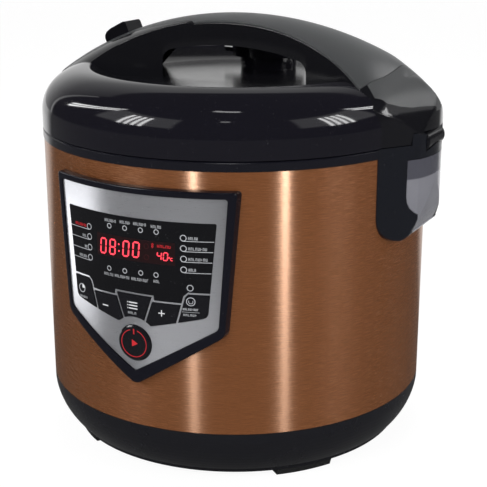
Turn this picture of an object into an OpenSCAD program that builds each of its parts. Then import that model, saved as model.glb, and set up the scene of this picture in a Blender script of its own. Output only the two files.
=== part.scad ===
/* [Body] */
// Outer radius of the metal shell
shell_r = 128; // [126:0.5:130]
// Height of the lower edge of the metal shell
shell_bottom = 37.5; // [36:0.5:39]
// Height of the upper edge of the metal shell
shell_top = 202.5; // [201.5:0.5:203]
// Thickness of the metal shell
shell_wall = 0.8; // [0.6:0.1:1]
// Height of the feet under the base
foot_height = 5; // [4:0.5:6]
// Wall thickness of the plastic housings
plastic_wall = 2.6; // [2.2:0.1:3]

/* [Pot] */
// Inner radius of the cooking pot
pot_r = 110.5; // [109:0.5:111]
// Wall thickness of the cooking pot
pot_wall = 1.5; // [1.2:0.1:1.7]
// Height of the bottom of the cooking pot
pot_bottom = 64; // [63.5:0.5:66]

/* [Lid] */
// How far the lid and the collar stand out past the shell
lid_reach = 0.5; // [0.3:0.1:1]
// Height of the parting line between the collar and the lid
parting = 209; // [208.5:0.5:209.5]
// Height of the flat floor of the recess in the lid
dish_floor = 225; // [224:0.5:227]

/* [Handle] */
// Height of the top of the arched handle
arch_top = 280; // [276:1:284]
// Radius of the arch, seen from the front
arch_r = 238; // [234:1:242]
// Half width of the handle at its waist
waist = 20; // [18:0.5:22]
// Thickness of the cover strip along the top of the handle
cover_wall = 1.6; // [1.4:0.2:2]
// Half length of the hand gap
grip_half = 53; // [50:1:54]

/* [Hinge] */
// Distance from the bowl axis to the outermost point of the hinge block
nose_x = 141.5; // [141:0.5:142.5]
// Radius of the hinge barrel
barrel_r = 7; // [6.5:0.25:7]
// Radius of the hinge pin
pin_r = 2.5; // [2:0.25:2.75]

/* [Panel] */
// Radius of the curved front of the control panel
panel_r = 134; // [133.5:0.5:135]
// Radius of the round start button
start_r = 11.3; // [10.5:0.1:11.8]
// Travel of the buttons
key_travel = 0.8; // [0.5:0.1:0.8]

/* [Hidden] */
$fn = 144;

// The bowl axis stands off the origin, so that the origin is the middle of the footprint.
axis_at = [-6.5, 2.8, 0];
slip = 0.4;                     // gap round pieces that slide
fit = 0.2;                      // gap between pieces that stay put
lid_r = shell_r + lid_reach;
lip_r = 114.6;                  // lower lip of the base
side_r = 43.4;
side_at = [85, 37.84];
brow_r = 24;
foot_angles = [50.5, 140.5, 230.5, 320.5];
collar_top = parting - 0.8;
lid_bottom = parting - 0.2;
pot_out = pot_r + pot_wall;
liner_r = pot_out + 4.8;
rim_top = 203.4;
start_z = 94.2;
board_y = -118;
board_wall = 1.6;
switch_high = 2.2;

// Lid dome: two shoulder arcs, a rounded rim and the fillet down to the dish floor.
shoulder = 24.5;
crown_r = 40;
rim_r = 4;
dish_fillet = 18;
bend = 55;
crest = 86;
lip = 155;
wall_foot = dish_floor + dish_fillet * (1 - sin(lip));
shoulder_at = [lid_r - shoulder, 219];
crown_at = shoulder_at - (crown_r - shoulder) * heading(bend);
rim_at = crown_at + (crown_r - rim_r) * heading(crest);
wall_top = rim_at + rim_r * heading(lip);
wall_run = (wall_top[1] - wall_foot) / sin(lip - 90);
dish_at = wall_top + wall_run * heading(lip + 90) - dish_fillet * heading(lip - 180);

// Arch of the handle, seen from the front, with a rounded hip at each end.
arch_at = [6, arch_top - arch_r];
hip_left = 14;
hip_right = 20;
left_x = 1.5 - lid_r;
waist_cut = 245;
crown_side = 67;
grip_thick = 18.1;
grip_shift = 5;
grip_corner = 8;
corner_turn = 27.5;
cover_end_r = 79.5;
cover_end_x = 116;

// Hinge block and condensate cup.
pin_x = nose_x - barrel_r;
pin_z = parting;
nose_round = 60;
nose_half = 21;
nose_straight = 185;
nose_under = 75;
tower_bottom = 149;
tower_half = 46;
tower_corner = 16;
knuckle_half = 15;
ear_end = 26;
cup_top = 199.6;
cup_half = 28.4;
cup_floor = 163;
cup_back = 130.4;
cup_wall = 1.8;
skin_half = 20.6;
skin_bottom = 151;

// Latch and steam valve.
button_tilt = -23;
button_half = [10, 9.5];
latch_at = [-108, 219];
stem_foot = 195.1;
screw_ring = 117.3;
valve_at = [0, 50];
neck_r = 13.2;

function heading(a) = [cos(a), sin(a)];
function arc(at, r, a0, a1, n) = [for (i = [0:n]) at + r * heading(a0 + (a1 - a0) * i / n)];
function unit(v) = v / norm(v);
function flipped(p) = [for (i = [len(p) - 1:-1:0]) p[i]];
function mirrored(p) = [for (q = flipped(p)) [-q[0], q[1]]];

// Outline moved outwards by d; the points run anticlockwise.
function grow(p, d) = [for (i = [0:len(p) - 1])
    let (u = unit(p[i] - p[(i + len(p) - 1) % len(p)]), v = unit(p[(i + 1) % len(p)] - p[i]),
         m = unit([u[1], -u[0]] + [v[1], -v[0]]))
    p[i] + m * d / (m * [u[1], -u[0]])];

// Outline with corner i rounded to radius r[i]; the points run anticlockwise.
function rounded(p, r) = [for (i = [0:len(p) - 1])
    let (u = unit(p[(i + len(p) - 1) % len(p)] - p[i]), v = unit(p[(i + 1) % len(p)] - p[i]),
         half = acos(u * v) / 2, at = p[i] + unit(u + v) * r[i] / sin(half),
         from = p[i] + u * r[i] / tan(half) - at, a = atan2(from[1], from[0]))
    each arc(at, r[i], a, a + 180 - 2 * half, 5)];

// Control panel outlines, seen from the front, points anticlockwise from the top left.
frame_line = [[-62.2, 191.6], [-55.4, 103.1], [0, 66.9], [55.4, 103.1], [62.2, 191.6]];
plate_line = [[-57.3, 187.5], [-52, 107.6], [0, 76.3], [52, 107.6], [57.3, 187.5]];
window_line = [[-51.4, 173], [-46.2, 115], [0, 103.7], [46.2, 115], [51.4, 173]];
frame_round = [2, 7, 6, 7, 2];
plate_round = [1.5, 4.5, 3, 4.5, 1.5];
timer_cell = [[-60, 129.8], [-60, 95], [-23.8, 95], [-32.6, 127.6], [-34.6, 129.8]];
minus_cell = [[-31.3, 122.8], [-23.8, 95], [-2.6, 95], [-12, 122.8]];
menu_cell = [[-13, 125.8], [-2.6, 95], [2.6, 95], [13, 125.8]];
plus_cell = mirrored(minus_cell);
cancel_cell = mirrored(timer_cell);
left_steps = [[-60, 130.3], [-34.8, 130.3], [-32.2, 127.9], [-30.9, 123.3], [-13.8, 123.3],
    [-13.4, 126.3]];
display_area = concat([[-60, 180]], left_steps, mirrored(concat([[-60, 180]], left_steps)));
rib_half = 0.5;
ring_r = 16.6;
tray_r = shell_r + 2.5;
plate_back = panel_r - 2.1;
plate_front = panel_r - 1;
stem_r = 2.4;
stem_xs = [-36, -20.5, 0, 20.5, 36];
stem_zs = [120, 115, 117.5, 115, 120];
led_size = [54, 8, 15.6];
led_z = 152.6;

// Ring between two radii and two heights
module ring(r_in, r_out, z0, z1) {
    difference() {
        translate([0, 0, z0]) cylinder(r = r_out, h = z1 - z0);
        translate([0, 0, z0 - 1]) cylinder(r = r_in, h = z1 - z0 + 2);
    }
}

// Turned piece about the bowl axis
module turned(points) { rotate_extrude() polygon(points); }

// Extrusion towards the front of an outline drawn in X and Z
module forward(depth = 160) { rotate([90, 0, 0]) linear_extrude(height = depth) children(); }

// Extrusion right through, along Y, of an outline drawn in X and Z
module across(width = 160) {
    rotate([90, 0, 0]) linear_extrude(height = width, center = true) children();
}

// Extrusion towards the hinge of an outline drawn in Y and Z
module sideways(depth = 160) { rotate([90, 0, 90]) linear_extrude(height = depth) children(); }

// Rod along Y in the plane of the handle
module rod(x, z, r, y0, y1) {
    translate([x, y1, z]) rotate([90, 0, 0]) cylinder(r = r, h = y1 - y0);
}

// Part of the curved panel between two radii, cut out by an outline
module on_drum(r_in, r_out) {
    intersection() {
        ring(r_in, r_out, 55, 205);
        forward() children();
    }
}

// Round wire wound into a compression spring, its foot at the origin
module coil(r, wire, height, turns) {
    steps = turns * 12;
    sides = 6;
    points = [for (i = [0:steps], k = [0:sides - 1])
        let (a = 360 * i / 12, b = 360 * k / sides, q = r + wire * cos(b) / 2)
        [q * cos(a), q * sin(a), wire / 2 + (height - wire) * i / steps + wire * sin(b) / 2]];
    walls = [for (i = [0:steps - 1], k = [0:sides - 1])
        let (a = i * sides + k, b = i * sides + (k + 1) % sides)
        each [[a, b, b + sides], [a, b + sides, a + sides]]];
    first = [for (k = [sides - 1:-1:0]) k];
    last = [for (k = [0:sides - 1]) steps * sides + k];
    polyhedron(points, concat([for (w = walls) flipped(w)], [flipped(first), flipped(last)]));
}

module at_axis() { translate(axis_at) children(); }

// ---------------------------------------------------------------- base and shell

// Base in section, moved in by t: a lower lip, the wide curve of the side and a straight top
function base_line(t) = concat([[0, foot_height + t], [lip_r - t, foot_height + t]],
    t == 0 ? [[lip_r, foot_height + 2.3]] : [],
    arc(side_at, side_r - t, -43.6, -11.4, 8),
    arc([shell_r - brow_r, 34], brow_r - t, -11.4, 0, 3),
    [[shell_r - t, shell_bottom - fit]]);

module vent_slots() {
    for (i = [-4:4])
        translate([i * 9 - 1.5, -30, 0]) cube([3, 60, foot_height + 2 * plastic_wall]);
}

module inlet_outline(d) {
    polygon(rounded(grow([[-13.5, 14], [13.5, 14], [13.5, 34], [-13.5, 34]], d), [2, 2, 5, 5]));
}

module base_housing() {
    color("#15171c") at_axis() {
        difference() {
            union() {
                turned(concat(base_line(0), flipped(base_line(plastic_wall))));
                ring(shell_r - shell_wall - 3, shell_r - shell_wall - fit, 30, shell_bottom + 7);
                for (a = foot_angles)
                    rotate([0, 0, a]) translate([100, 0, foot_height]) cylinder(r = 7, h = 26);
                intersection() {
                    turned(concat(base_line(1), [[0, shell_bottom]]));
                    for (a = [0:30:330]) rotate([0, 0, a])
                        translate([104, -0.9, foot_height + 1]) cube([20, 1.8, 16]);
                }
            }
            vent_slots();
            rotate([0, 0, 180]) forward(140) inlet_outline(fit);
            for (a = foot_angles) rotate([0, 0, a]) translate([100, 0, 0]) {
                cylinder(r = 2.2, h = 60);
                cylinder(r = 5, h = foot_height + 2);
            }
        }
    }
}

module base_feet() {
    color("#101114") at_axis() {
        for (a = foot_angles) rotate([0, 0, a]) difference() {
            intersection() {
                turned([[90, 0], [112, 0], [114, foot_height - fit], [88, foot_height - fit]]);
                translate([80, -19, 0]) cube([40, 38, foot_height]);
            }
            translate([100, 0, -1]) cylinder(r = 5.4, h = foot_height + 2);
        }
    }
}

module base_screws() {
    color("#8d9196") at_axis() {
        for (a = foot_angles) rotate([0, 0, a]) translate([100, 0, 0]) difference() {
            union() {
                translate([0, 0, 3]) cylinder(r = 4, h = foot_height - 1);
                translate([0, 0, 4]) cylinder(r = 2, h = 24);
            }
            translate([0, 0, 2]) cylinder(r = 2, h = 2.4, $fn = 6);
        }
    }
}

module outer_shell() {
    color("#8a5532") at_axis() {
        difference() {
            ring(shell_r - shell_wall, shell_r, shell_bottom, shell_top);
            forward() polygon(rounded(grow(frame_line, -8), frame_round));
            translate([120, -14, 180]) cube([20, 28, 14]);
        }
    }
}

module top_collar() {
    color("#14151a") at_axis() {
        difference() {
            turned([[shell_r - shell_wall - fit, shell_top - 8], [shell_r - shell_wall - fit, shell_top],
                [lid_r, shell_top], [lid_r, collar_top - 0.8], [lid_r - 0.8, collar_top],
                [121.5, collar_top], [121.5, 201], [pot_out + 1.5, 201], [pot_out + 1.5, 192],
                [pot_out + 3.9, 192], [pot_out + 3.9, 198.4], [124, 198.4], [124.6, shell_top - 8]]);
            rod(pin_x, pin_z, barrel_r + slip, -ear_end, ear_end);
            translate([-127.6, -6, 199]) cube([7, 12, 12]);
        }
    }
}

// ---------------------------------------------------------------- heating and pot

module inner_liner() {
    color("#b9bbbd") at_axis() {
        turned([[70, 54], [liner_r - 8, 54], [liner_r, 62], [liner_r, 197.4], [liner_r + 4, 197.4],
            [liner_r + 4, 198.2], [liner_r - 0.8, 198.2], [liner_r - 0.8, 62.4],
            [liner_r - 8.4, 54.8], [70, 54.8]]);
    }
}

module heating_plate() {
    color("#a7a9ab") at_axis() {
        difference() {
            union() {
                turned([[0, 47], [69.6, 47], [69.6, 55], [84, 55], [86, 57],
                    [86, pot_bottom - 2.6], [83, pot_bottom - 0.3], [0, pot_bottom - 0.3]]);
                ring(56, 62, 43, 48);
            }
            translate([0, 0, 40]) cylinder(r = 21, h = 30);
            for (a = [0:60:300]) rotate([0, 0, a + 30]) translate([45, 0, 40]) cylinder(r = 5, h = 10);
        }
    }
}

module sensor_cap() {
    color("#c6c8ca") at_axis() {
        turned([[0, pot_bottom - 2.3], [18.6, pot_bottom - 2.3], [18.6, 52], [20.4, 52],
            [20.4, pot_bottom - 1.8], [19, pot_bottom - 0.3], [0, pot_bottom - 0.3]]);
    }
}

module sensor_spring() {
    color("#9a9da1") at_axis() translate([0, 0, 42.4]) coil(10, 1.6, pot_bottom - 45, 5);
}

module sensor_bracket() {
    color("#a7a9ab") at_axis() {
        difference() {
            union() {
                translate([0, 0, 40.6]) cylinder(r = 24, h = 1.6);
                translate([-61, -6, 40.6]) cube([122, 12, 1.6]);
                for (s = [-1, 1]) translate([s * 59, 0, 40.6]) cylinder(r = 6, h = 2.3);
            }
            translate([0, 0, 40]) cylinder(r = 5, h = 4);
        }
    }
}

module inner_pot() {
    color("#55575b") at_axis() {
        turned(concat([[0, pot_bottom]], arc([pot_out - 22, pot_bottom + 22], 22, -90, 0, 8),
            [[pot_out, rim_top - 2], [119.4, rim_top - 2], [119.8, rim_top - 1],
             [119.4, rim_top], [pot_r + 1, rim_top], [pot_r, rim_top - 1]],
            arc([pot_out - 22, pot_bottom + 22], 22 - pot_wall, 0, -90, 8),
            [[0, pot_bottom + pot_wall]]));
    }
}

// ---------------------------------------------------------------- electrics

module power_board() {
    color("#2f6b3c") at_axis() {
        translate([-45, -30, 16]) cube([84, 58, 1.6]);
        for (x = [-40, 34]) for (y = [-25, 23])
            translate([x, y, foot_height + plastic_wall]) cylinder(r = 2.5, h = 16 - foot_height - plastic_wall);
        translate([-38, -22, 17.6]) cube([19, 16, 15]);
        translate([-12, -20, 17.6]) cube([28, 24, 18]);
        translate([25, -8, 17.6]) cylinder(r = 5, h = 16);
        translate([-30, 12, 17.6]) cylinder(r = 4, h = 12);
    }
}

module control_board() {
    color("#2f6b3c") at_axis() {
        translate([-40, board_y - board_wall, 86]) cube([80, board_wall, 80]);
        for (i = [0:4]) translate([stem_xs[i] - 3, board_y - board_wall - switch_high, stem_zs[i] - 3])
            cube([6, switch_high, 6]);
        translate([-3, board_y - board_wall - switch_high, start_z - 3]) cube([6, switch_high, 6]);
    }
}

module led_display() {
    color("#1a0d10") at_axis()
        translate([-led_size[0] / 2, board_y - board_wall - led_size[1], led_z - led_size[2] / 2])
            cube(led_size);
}

module power_inlet() {
    color("#17181b") at_axis() rotate([0, 0, 180]) {
        difference() {
            union() {
                intersection() {
                    ring(shell_r + 0.05, shell_r + 1.3, 5, 45);
                    forward() inlet_outline(2.4);
                }
                translate([0, -103, 0]) forward(25.4) inlet_outline(0);
            }
            translate([0, -108, 0]) forward(40) inlet_outline(-2);
        }
        for (x = [-7, 0, 7]) translate([x - 1, -124, x == 0 ? 25 : 20]) cube([2, 17, 4]);
    }
}

// ---------------------------------------------------------------- control panel

module window_area(d) { polygon(rounded(grow(window_line, d), [1, 4, 0.5, 4, 1])); }

// Opening for one button: its cell inside the window, clear of the ring round the start button
module key_area(cell, d) {
    difference() {
        intersection() {
            window_area(d);
            polygon(grow(cell, d - rib_half));
        }
        translate([0, start_z]) circle(r = ring_r - d);
    }
}

module display_outline(d) {
    intersection() {
        window_area(d);
        polygon(grow(display_area, d));
    }
}

module panel_bezel() {
    color("#121418") at_axis() {
        difference() {
            union() {
                on_drum(shell_r + 0.1, tray_r) polygon(rounded(frame_line, frame_round));
                on_drum(tray_r - 0.1, panel_r) difference() {
                    polygon(rounded(frame_line, frame_round));
                    polygon(rounded(grow(plate_line, fit), plate_round));
                }
                intersection() {
                    cylinder(r = tray_r - 0.5, h = 200);
                    for (s = [-1, 1]) for (at = [[s * 36, 162], [s * 20, 101]])
                        translate([at[0], board_y - board_wall - 0.1, at[1]]) forward(20) circle(r = 3);
                }
            }
            for (i = [0:4]) translate([stem_xs[i], 0, stem_zs[i]]) forward() circle(r = stem_r + slip);
            translate([0, 0, start_z]) forward() circle(r = stem_r + slip);
            translate([0, 0, led_z]) forward()
                square([led_size[0] + 2 * slip, led_size[2] + 2 * slip], center = true);
        }
    }
}

module panel_plate() {
    color("#b4b7bd") at_axis() on_drum(plate_back, plate_front) difference() {
        polygon(rounded(plate_line, plate_round));
        display_outline(0);
        for (c = [timer_cell, minus_cell, menu_cell, plus_cell, cancel_cell]) key_area(c, 0);
        translate([0, start_z]) circle(r = start_r + slip);
    }
}

module display_window() {
    color("#0d0e11") at_axis() on_drum(plate_back, plate_front + 0.1) display_outline(-0.15);
}

// Button cap with the stem that reaches its switch
module key(cell, i) {
    at_axis() {
        on_drum(plate_back, panel_r - 0.4) key_area(cell, -0.35);
        intersection() {
            translate([stem_xs[i], board_y - board_wall - switch_high - key_travel - 0.3, stem_zs[i]])
                forward(20) circle(r = stem_r);
            cylinder(r = plate_back + 0.2, h = 200);
        }
    }
}

module key_timer() { color("#15161a") key(timer_cell, 0); }

module key_minus() { color("#15161a") key(minus_cell, 1); }

module key_menu() { color("#15161a") key(menu_cell, 2); }

module key_plus() { color("#15161a") key(plus_cell, 3); }

module key_cancel() { color("#15161a") key(cancel_cell, 4); }

module start_button() {
    color("#17181c") at_axis() translate([0, 0, start_z]) {
        translate([0, board_y - board_wall - switch_high - key_travel - 0.3, 0]) forward(9.5) circle(r = stem_r);
        translate([0, -plate_back, 0]) rotate([90, 0, 0]) rotate_extrude()
            polygon([[0, 0], [start_r, 0], [start_r, 1.6], [start_r - 0.8, 2.4], [0, 2]]);
    }
}

// ---------------------------------------------------------------- hinge block and cup

// Plan of the hinge block, with its outer faces moved in by d
module nose_plan(d) {
    intersection() {
        translate([nose_x - nose_round, 0]) circle(r = nose_round - d);
        polygon(grow([[60, -75], [100, -75], [137.8, -nose_half], [150, -nose_half],
            [150, nose_half], [137.8, nose_half], [100, 75], [60, 75]], -d));
    }
}

// Outer form of the hinge block below the parting line, moved in by d
module nose_form(d) {
    intersection() {
        translate([0, 0, 100]) linear_extrude(height = 120) nose_plan(d);
        across() polygon(concat([[60, tower_bottom]],
            arc([129, tower_bottom + 6], 6 - d, -90, -25, 4),
            arc([nose_x - nose_under, nose_straight], nose_under - d, -25, 0, 8),
            [[nose_x - d, 230], [60, 230]]));
    }
}

module tower_front() {
    polygon(rounded([[-tower_half, tower_bottom], [tower_half, tower_bottom],
        [tower_half, parting - 0.3], [-tower_half, parting - 0.3]], [tower_corner, tower_corner, 1, 1]));
}

module cup_front(d) {
    polygon(rounded([[-cup_half - d, cup_floor - d], [cup_half + d, cup_floor - d],
        [cup_half + d, cup_top + d], [-cup_half - d, cup_top + d]], [14, 14, 1, 1]));
}

module skin_front(d) {
    polygon(rounded([[-skin_half - d, skin_bottom - d], [skin_half + d, skin_bottom - d],
        [skin_half + d, cup_top + d], [-skin_half - d, cup_top + d]], [4, 4, 1, 1]));
}

module hinge_tower() {
    color("#14161c") at_axis() {
        difference() {
            union() {
                intersection() {
                    nose_form(0);
                    sideways() tower_front();
                }
                intersection() {
                    rod(pin_x, pin_z, barrel_r - 0.1, -ear_end + 0.2, ear_end - 0.2);
                    translate([0, 0, 190]) linear_extrude(height = 40) nose_plan(0);
                }
            }
            translate([0, 0, 100]) cylinder(r = shell_r + 0.1, h = 120);
            translate([0, 0, shell_top - 0.1]) cylinder(r = lid_r + 0.1, h = 20);
            rod(pin_x, pin_z, barrel_r + slip, -knuckle_half - slip, knuckle_half + slip);
            rod(pin_x, pin_z, pin_r, -nose_half, nose_half);
            translate([cup_back - slip, 0, 0]) sideways(20) cup_front(slip);
            difference() {
                sideways() skin_front(slip);
                nose_form(cup_wall + slip);
            }
        }
    }
}

module hinge_pin() { color("#c3c6c9") at_axis() rod(pin_x, pin_z, pin_r, 0.1 - nose_half, nose_half - 0.1); }

module hinge_spring() {
    color("#8f9398") at_axis() translate([pin_x, 5.5, pin_z]) rotate([90, 0, 0])
        coil(4.2, 1.2, 11, 6);
}

module condensate_cup() {
    color("#8d8f98") at_axis() {
        difference() {
            union() {
                intersection() {
                    nose_form(0);
                    translate([cup_back, 0, 0]) sideways(20) cup_front(0);
                }
                intersection() {
                    difference() {
                        nose_form(0);
                        nose_form(cup_wall);
                    }
                    translate([120, 0, 0]) sideways(30) skin_front(0);
                }
            }
            intersection() {
                nose_form(cup_wall);
                translate([cup_back + cup_wall, -cup_half + cup_wall, cup_floor + cup_wall])
                    cube([20, 2 * (cup_half - cup_wall), 50]);
                translate([cup_back, 0, 0]) sideways(20) cup_front(-cup_wall);
            }
            intersection() {
                nose_form(cup_wall);
                translate([cup_back + cup_wall, 5 - cup_half, cup_top - 4])
                    cube([20, 2 * cup_half - 10, 10]);
            }
        }
    }
}

// ---------------------------------------------------------------- lid

// Top of the lid in section, moved in by t, from the lower edge to the middle of the dish
function dome_line(t) = concat([[lid_r - t, lid_bottom]],
    arc(shoulder_at, shoulder - t, 0, bend, 8),
    arc(crown_at, crown_r - t, bend + 4, crest, 6),
    arc(rim_at, rim_r - t, crest + 12, lip, 5),
    arc(dish_at, dish_fillet + t, lip - 180, -90, 7),
    [[0, dish_floor - t]]);

// Solid below the top of the lid, grown by d
module dome(d) { turned(concat(dome_line(-d), [[0, 190], [lid_r + d, 190]])); }

// Room that the tower's two ears need in the lid
module ear_room() {
    for (s = [-1, 1])
        translate([pin_x - barrel_r - slip, s * (knuckle_half + ear_end) / 2 - (ear_end - knuckle_half + fit) / 2, 190])
            cube([30, ear_end - knuckle_half + fit, pin_z + barrel_r + slip - 190]);
}

module lid_cover() {
    color("#121317") at_axis() {
        difference() {
            union() {
                turned(concat(dome_line(0), flipped(dome_line(plastic_wall))));
                intersection() {
                    turned(concat(dome_line(1), [[0, 190], [lid_r - 1, 190]]));
                    for (a = [45:90:315])
                        rotate([0, 0, a]) translate([screw_ring, 0, 211.6]) cylinder(r = 3.6, h = 40);
                }
            }
            for (a = [45:90:315])
                rotate([0, 0, a]) translate([screw_ring, 0, 205]) cylinder(r = 1.45, h = 15);
            ear_room();
            rod(pin_x, pin_z, barrel_r + fit, -knuckle_half, knuckle_half);
            translate([valve_at[0], valve_at[1], 210]) cylinder(r = neck_r + 0.3, h = 30);
            along_button() translate([0, 0, 150]) cylinder(r = 4.5, h = 85);
        }
    }
}

function hip_at(x, r) = [x, arch_at[1] + sqrt(pow(arch_r - r, 2) - pow(x - arch_at[0], 2))];
function bearing(p) = atan2(p[1] - arch_at[1], p[0] - arch_at[0]);

// Side view of the two hips, moved in by d; between them the barrel is the top
module arch_side(d) {
    right = hip_at(nose_x - hip_right, hip_right);
    left = hip_at(left_x + hip_left, hip_left);
    right_end = bearing(right) - 6;
    left_end = bearing(left) + 6;
    polygon(concat([[left_x + d, 180], [nose_x - d, 180]],
        arc(right, hip_right - d, 0, right_end, 6),
        [right + (hip_right - d) * heading(right_end) + 60 * heading(right_end + 90)],
        [left + (hip_left - d) * heading(left_end) + 60 * heading(left_end - 90)],
        arc(left, hip_left - d, left_end, 180, 6)));
}

// The arch is crowned: a barrel turned about the centre of the arch
module barrel(d) {
    translate([arch_at[0], 0, arch_at[1]]) rotate([90, 0, 0]) rotate_extrude()
        polygon(concat([[0, -crown_side * sin(48)]],
            [for (a = [-48:8:48]) [arch_r - crown_side + crown_side * cos(a) - d, crown_side * sin(a)]],
            [[0, crown_side * sin(48)]]));
}

module handle_plan() {
    difference() {
        union() {
            circle(r = lid_r - 2.2);
            nose_plan(0);
        }
        for (s = [-1, 1]) translate([arch_at[0], s * (waist + waist_cut)]) circle(r = waist_cut);
    }
}

// Side view that rounds off the two upper corners of the hinge block
module corner_side() {
    polygon([[-200, 180], [131.8, 180], [131.8, 212], [131, 218], [129.9, 223.5], [128.3, 228.5],
        [126.3, 232.5], [123.6, 236.5], [120.5, 240], [114, 245.6], [90, 265], [90, 400],
        [-200, 400]]);
}

module handle_form(d) {
    intersection() {
        translate([0, 0, 190]) linear_extrude(height = 100) handle_plan();
        across() arch_side(d);
        rotate([0, 0, corner_turn]) across(300) corner_side();
        rotate([0, 0, -corner_turn]) across(300) corner_side();
        barrel(d);
    }
}

module cover_end(d) { translate([cover_end_x - cover_end_r, 0]) circle(r = cover_end_r + d); }

// The cover strip is a narrow band on the latch side, and as wide as the handle beyond it
module cover_band(d) {
    side = [[-160, 24], [-97, 24], [-84, 21.5], [-67, 18.6], [-20, 18.9], [8, 20.6], [12, 70], [160, 70]];
    polygon(grow(concat([for (p = side) [p[0], -p[1]]], flipped(side)), d));
}

// Room for the cover strip on top of the handle
module cover_region(d) {
    difference() {
        intersection() {
            translate([0, 0, 190]) linear_extrude(height = 100) intersection() {
                union() {
                    cover_end(d);
                    translate([-150, -70]) square([150 + cover_end_x - cover_end_r, 140]);
                }
                cover_band(d);
            }
            barrel(-1);
        }
        intersection() {
            across() arch_side(cover_wall + d);
            barrel(cover_wall + d);
        }
    }
}

module grip_gap() {
    left = arch_at[0] + grip_shift - grip_half;
    right = arch_at[0] + grip_shift + grip_half;
    roof = arch_r - cover_wall - grip_thick;
    across() {
        intersection() {
            translate(arch_at) circle(r = roof);
            translate([left + grip_corner, 200]) square([right - left - 2 * grip_corner, 100]);
        }
        intersection() {
            translate(arch_at) circle(r = roof - grip_corner);
            translate([left, 200]) square([right - left, 100]);
        }
        for (x = [left + grip_corner, right - grip_corner])
            translate([x, hip_at(x, arch_r - roof + grip_corner)[1]]) circle(r = grip_corner);
    }
}

// Frame of the release button: on the arch, Z square to its top
module along_button() {
    translate([arch_at[0], 0, arch_at[1]]) rotate([0, button_tilt, 0]) children();
}

module handle_arch() {
    color("#131418") at_axis() {
        difference() {
            union() {
                difference() {
                    handle_form(0);
                    cover_region(fit);
                    dome(0.05);
                    translate([0, 0, lid_bottom + 0.4 - 50]) cube([400, 400, 100], center = true);
                    ear_room();
                    translate([pin_x, -knuckle_half, 180]) cube([30, 2 * knuckle_half, pin_z + barrel_r + slip - 180]);
                }
                rod(pin_x, pin_z, barrel_r, -knuckle_half, knuckle_half);
                translate([lid_r + fit, -knuckle_half, pin_z])
                    cube([pin_x + 0.4 - lid_r - fit, 2 * knuckle_half, barrel_r + 1]);
            }
            grip_gap();
            rod(pin_x, pin_z, pin_r + 0.06, -40, 40);
            rod(pin_x, pin_z, 5.4, -6.5, 6.5);
            along_button() {
                translate([-button_half[0] - slip, -button_half[1] - slip, arch_r - 16])
                    cube([2 * (button_half[0] + slip), 2 * (button_half[1] + slip), 30]);
                translate([0, 0, 150]) cylinder(r = 4.5, h = 85);
            }
        }
    }
}

module handle_cover() {
    color("#33363b") at_axis() {
        difference() {
            intersection() {
                handle_form(0);
                cover_region(0);
            }
            dome(0.05);
            along_button() translate([-button_half[0] - slip, -button_half[1] - slip, arch_r - 20])
                cube([2 * (button_half[0] + slip), 2 * (button_half[1] + slip), 30]);
        }
    }
}

module lid_lower() {
    color("#1b1c20") at_axis() {
        difference() {
            turned([[0, 213], [104, 213], [110, lid_bottom + 0.4], [125.8, lid_bottom + 0.4],
                [125.8, 217], [124, 217], [124, 211.4], [111, 211.4], [105, 215], [0, 215]]);
            translate([valve_at[0], valve_at[1], 200]) cylinder(r = neck_r + 3.4, h = 30);
            translate([-125.5, -5, 200]) cube([5, 10, 30]);
            for (a = [45:90:315])
                rotate([0, 0, a]) translate([screw_ring, 0, 200]) cylinder(r = 1.45, h = 20);
        }
    }
}

module inner_lid_plate() {
    color("#b9bcc0") at_axis() {
        difference() {
            turned([[0, 207], [94, 207], [98, 205.6], [107.6, 205.6], [107.6, 208.8], [106.4, 208.8],
                [106.4, 206.8], [98.6, 206.8], [94.4, 208.2], [0, 208.2]]);
            translate([valve_at[0], valve_at[1], 200]) cylinder(r = 6, h = 20);
            for (a = [0:60:300]) translate([valve_at[0], valve_at[1], 200])
                rotate([0, 0, a]) translate([10, 0, 0]) cylinder(r = 1.6, h = 20);
            for (a = [-150:30:150]) rotate([0, 0, a - 90]) translate([60, 0, 200]) cylinder(r = 1.5, h = 20);
        }
    }
}

module lid_gasket() {
    color("#6d7075") at_axis()
        turned([[108, 205], [112, 205], [113, 203.8], [118.6, 203.8], [119, 204.4], [116, 205.4],
            [114.6, 206.8], [114.6, lid_bottom + 0.3], [108, lid_bottom + 0.3]]);
}

// ---------------------------------------------------------------- steam valve

module at_valve() { at_axis() translate([valve_at[0], valve_at[1], 0]) children(); }

module steam_valve_body() {
    color("#141519") at_valve() {
        difference() {
            turned([[4, 211], [neck_r, 211], [neck_r, dish_floor + 0.3], [18.4, dish_floor + 0.3],
                [19.5, dish_floor + 1.5], [18.8, 232], [19.6, 243], [19.6, 246.3], [17.6, 246.3],
                [17.4, 229], [7, 228], [6, 240], [4, 240]]);
            for (a = [20:60:320]) rotate([0, 0, a]) translate([10.5, 0, 200]) cylinder(r = 1.6, h = 40);
        }
    }
}

module steam_valve_cap() {
    color("#121317") at_valve() {
        difference() {
            union() {
                turned(concat([[0, 255.8], [16, 255.8], [16, 240], [17.2, 240], [17.2, 246.5], [25, 246.5]],
                    arc([22.7, 256.2], 3, 0, 80, 4), [[14, 259.4], [0, 259.6]]));
                translate([0, 0, 247.3]) linear_extrude(height = 3) hull() {
                    translate([-22, 0]) circle(r = 6, $fn = 32);
                    translate([-31, 0]) circle(r = 3.6, $fn = 32);
                }
            }
            translate([0, 0, 240]) cylinder(r = 16.4, h = 8);
            for (a = [-15:15:15]) rotate([0, 0, a]) translate([8, -1.2, 250]) cube([9, 2.4, 20]);
        }
    }
}

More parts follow.
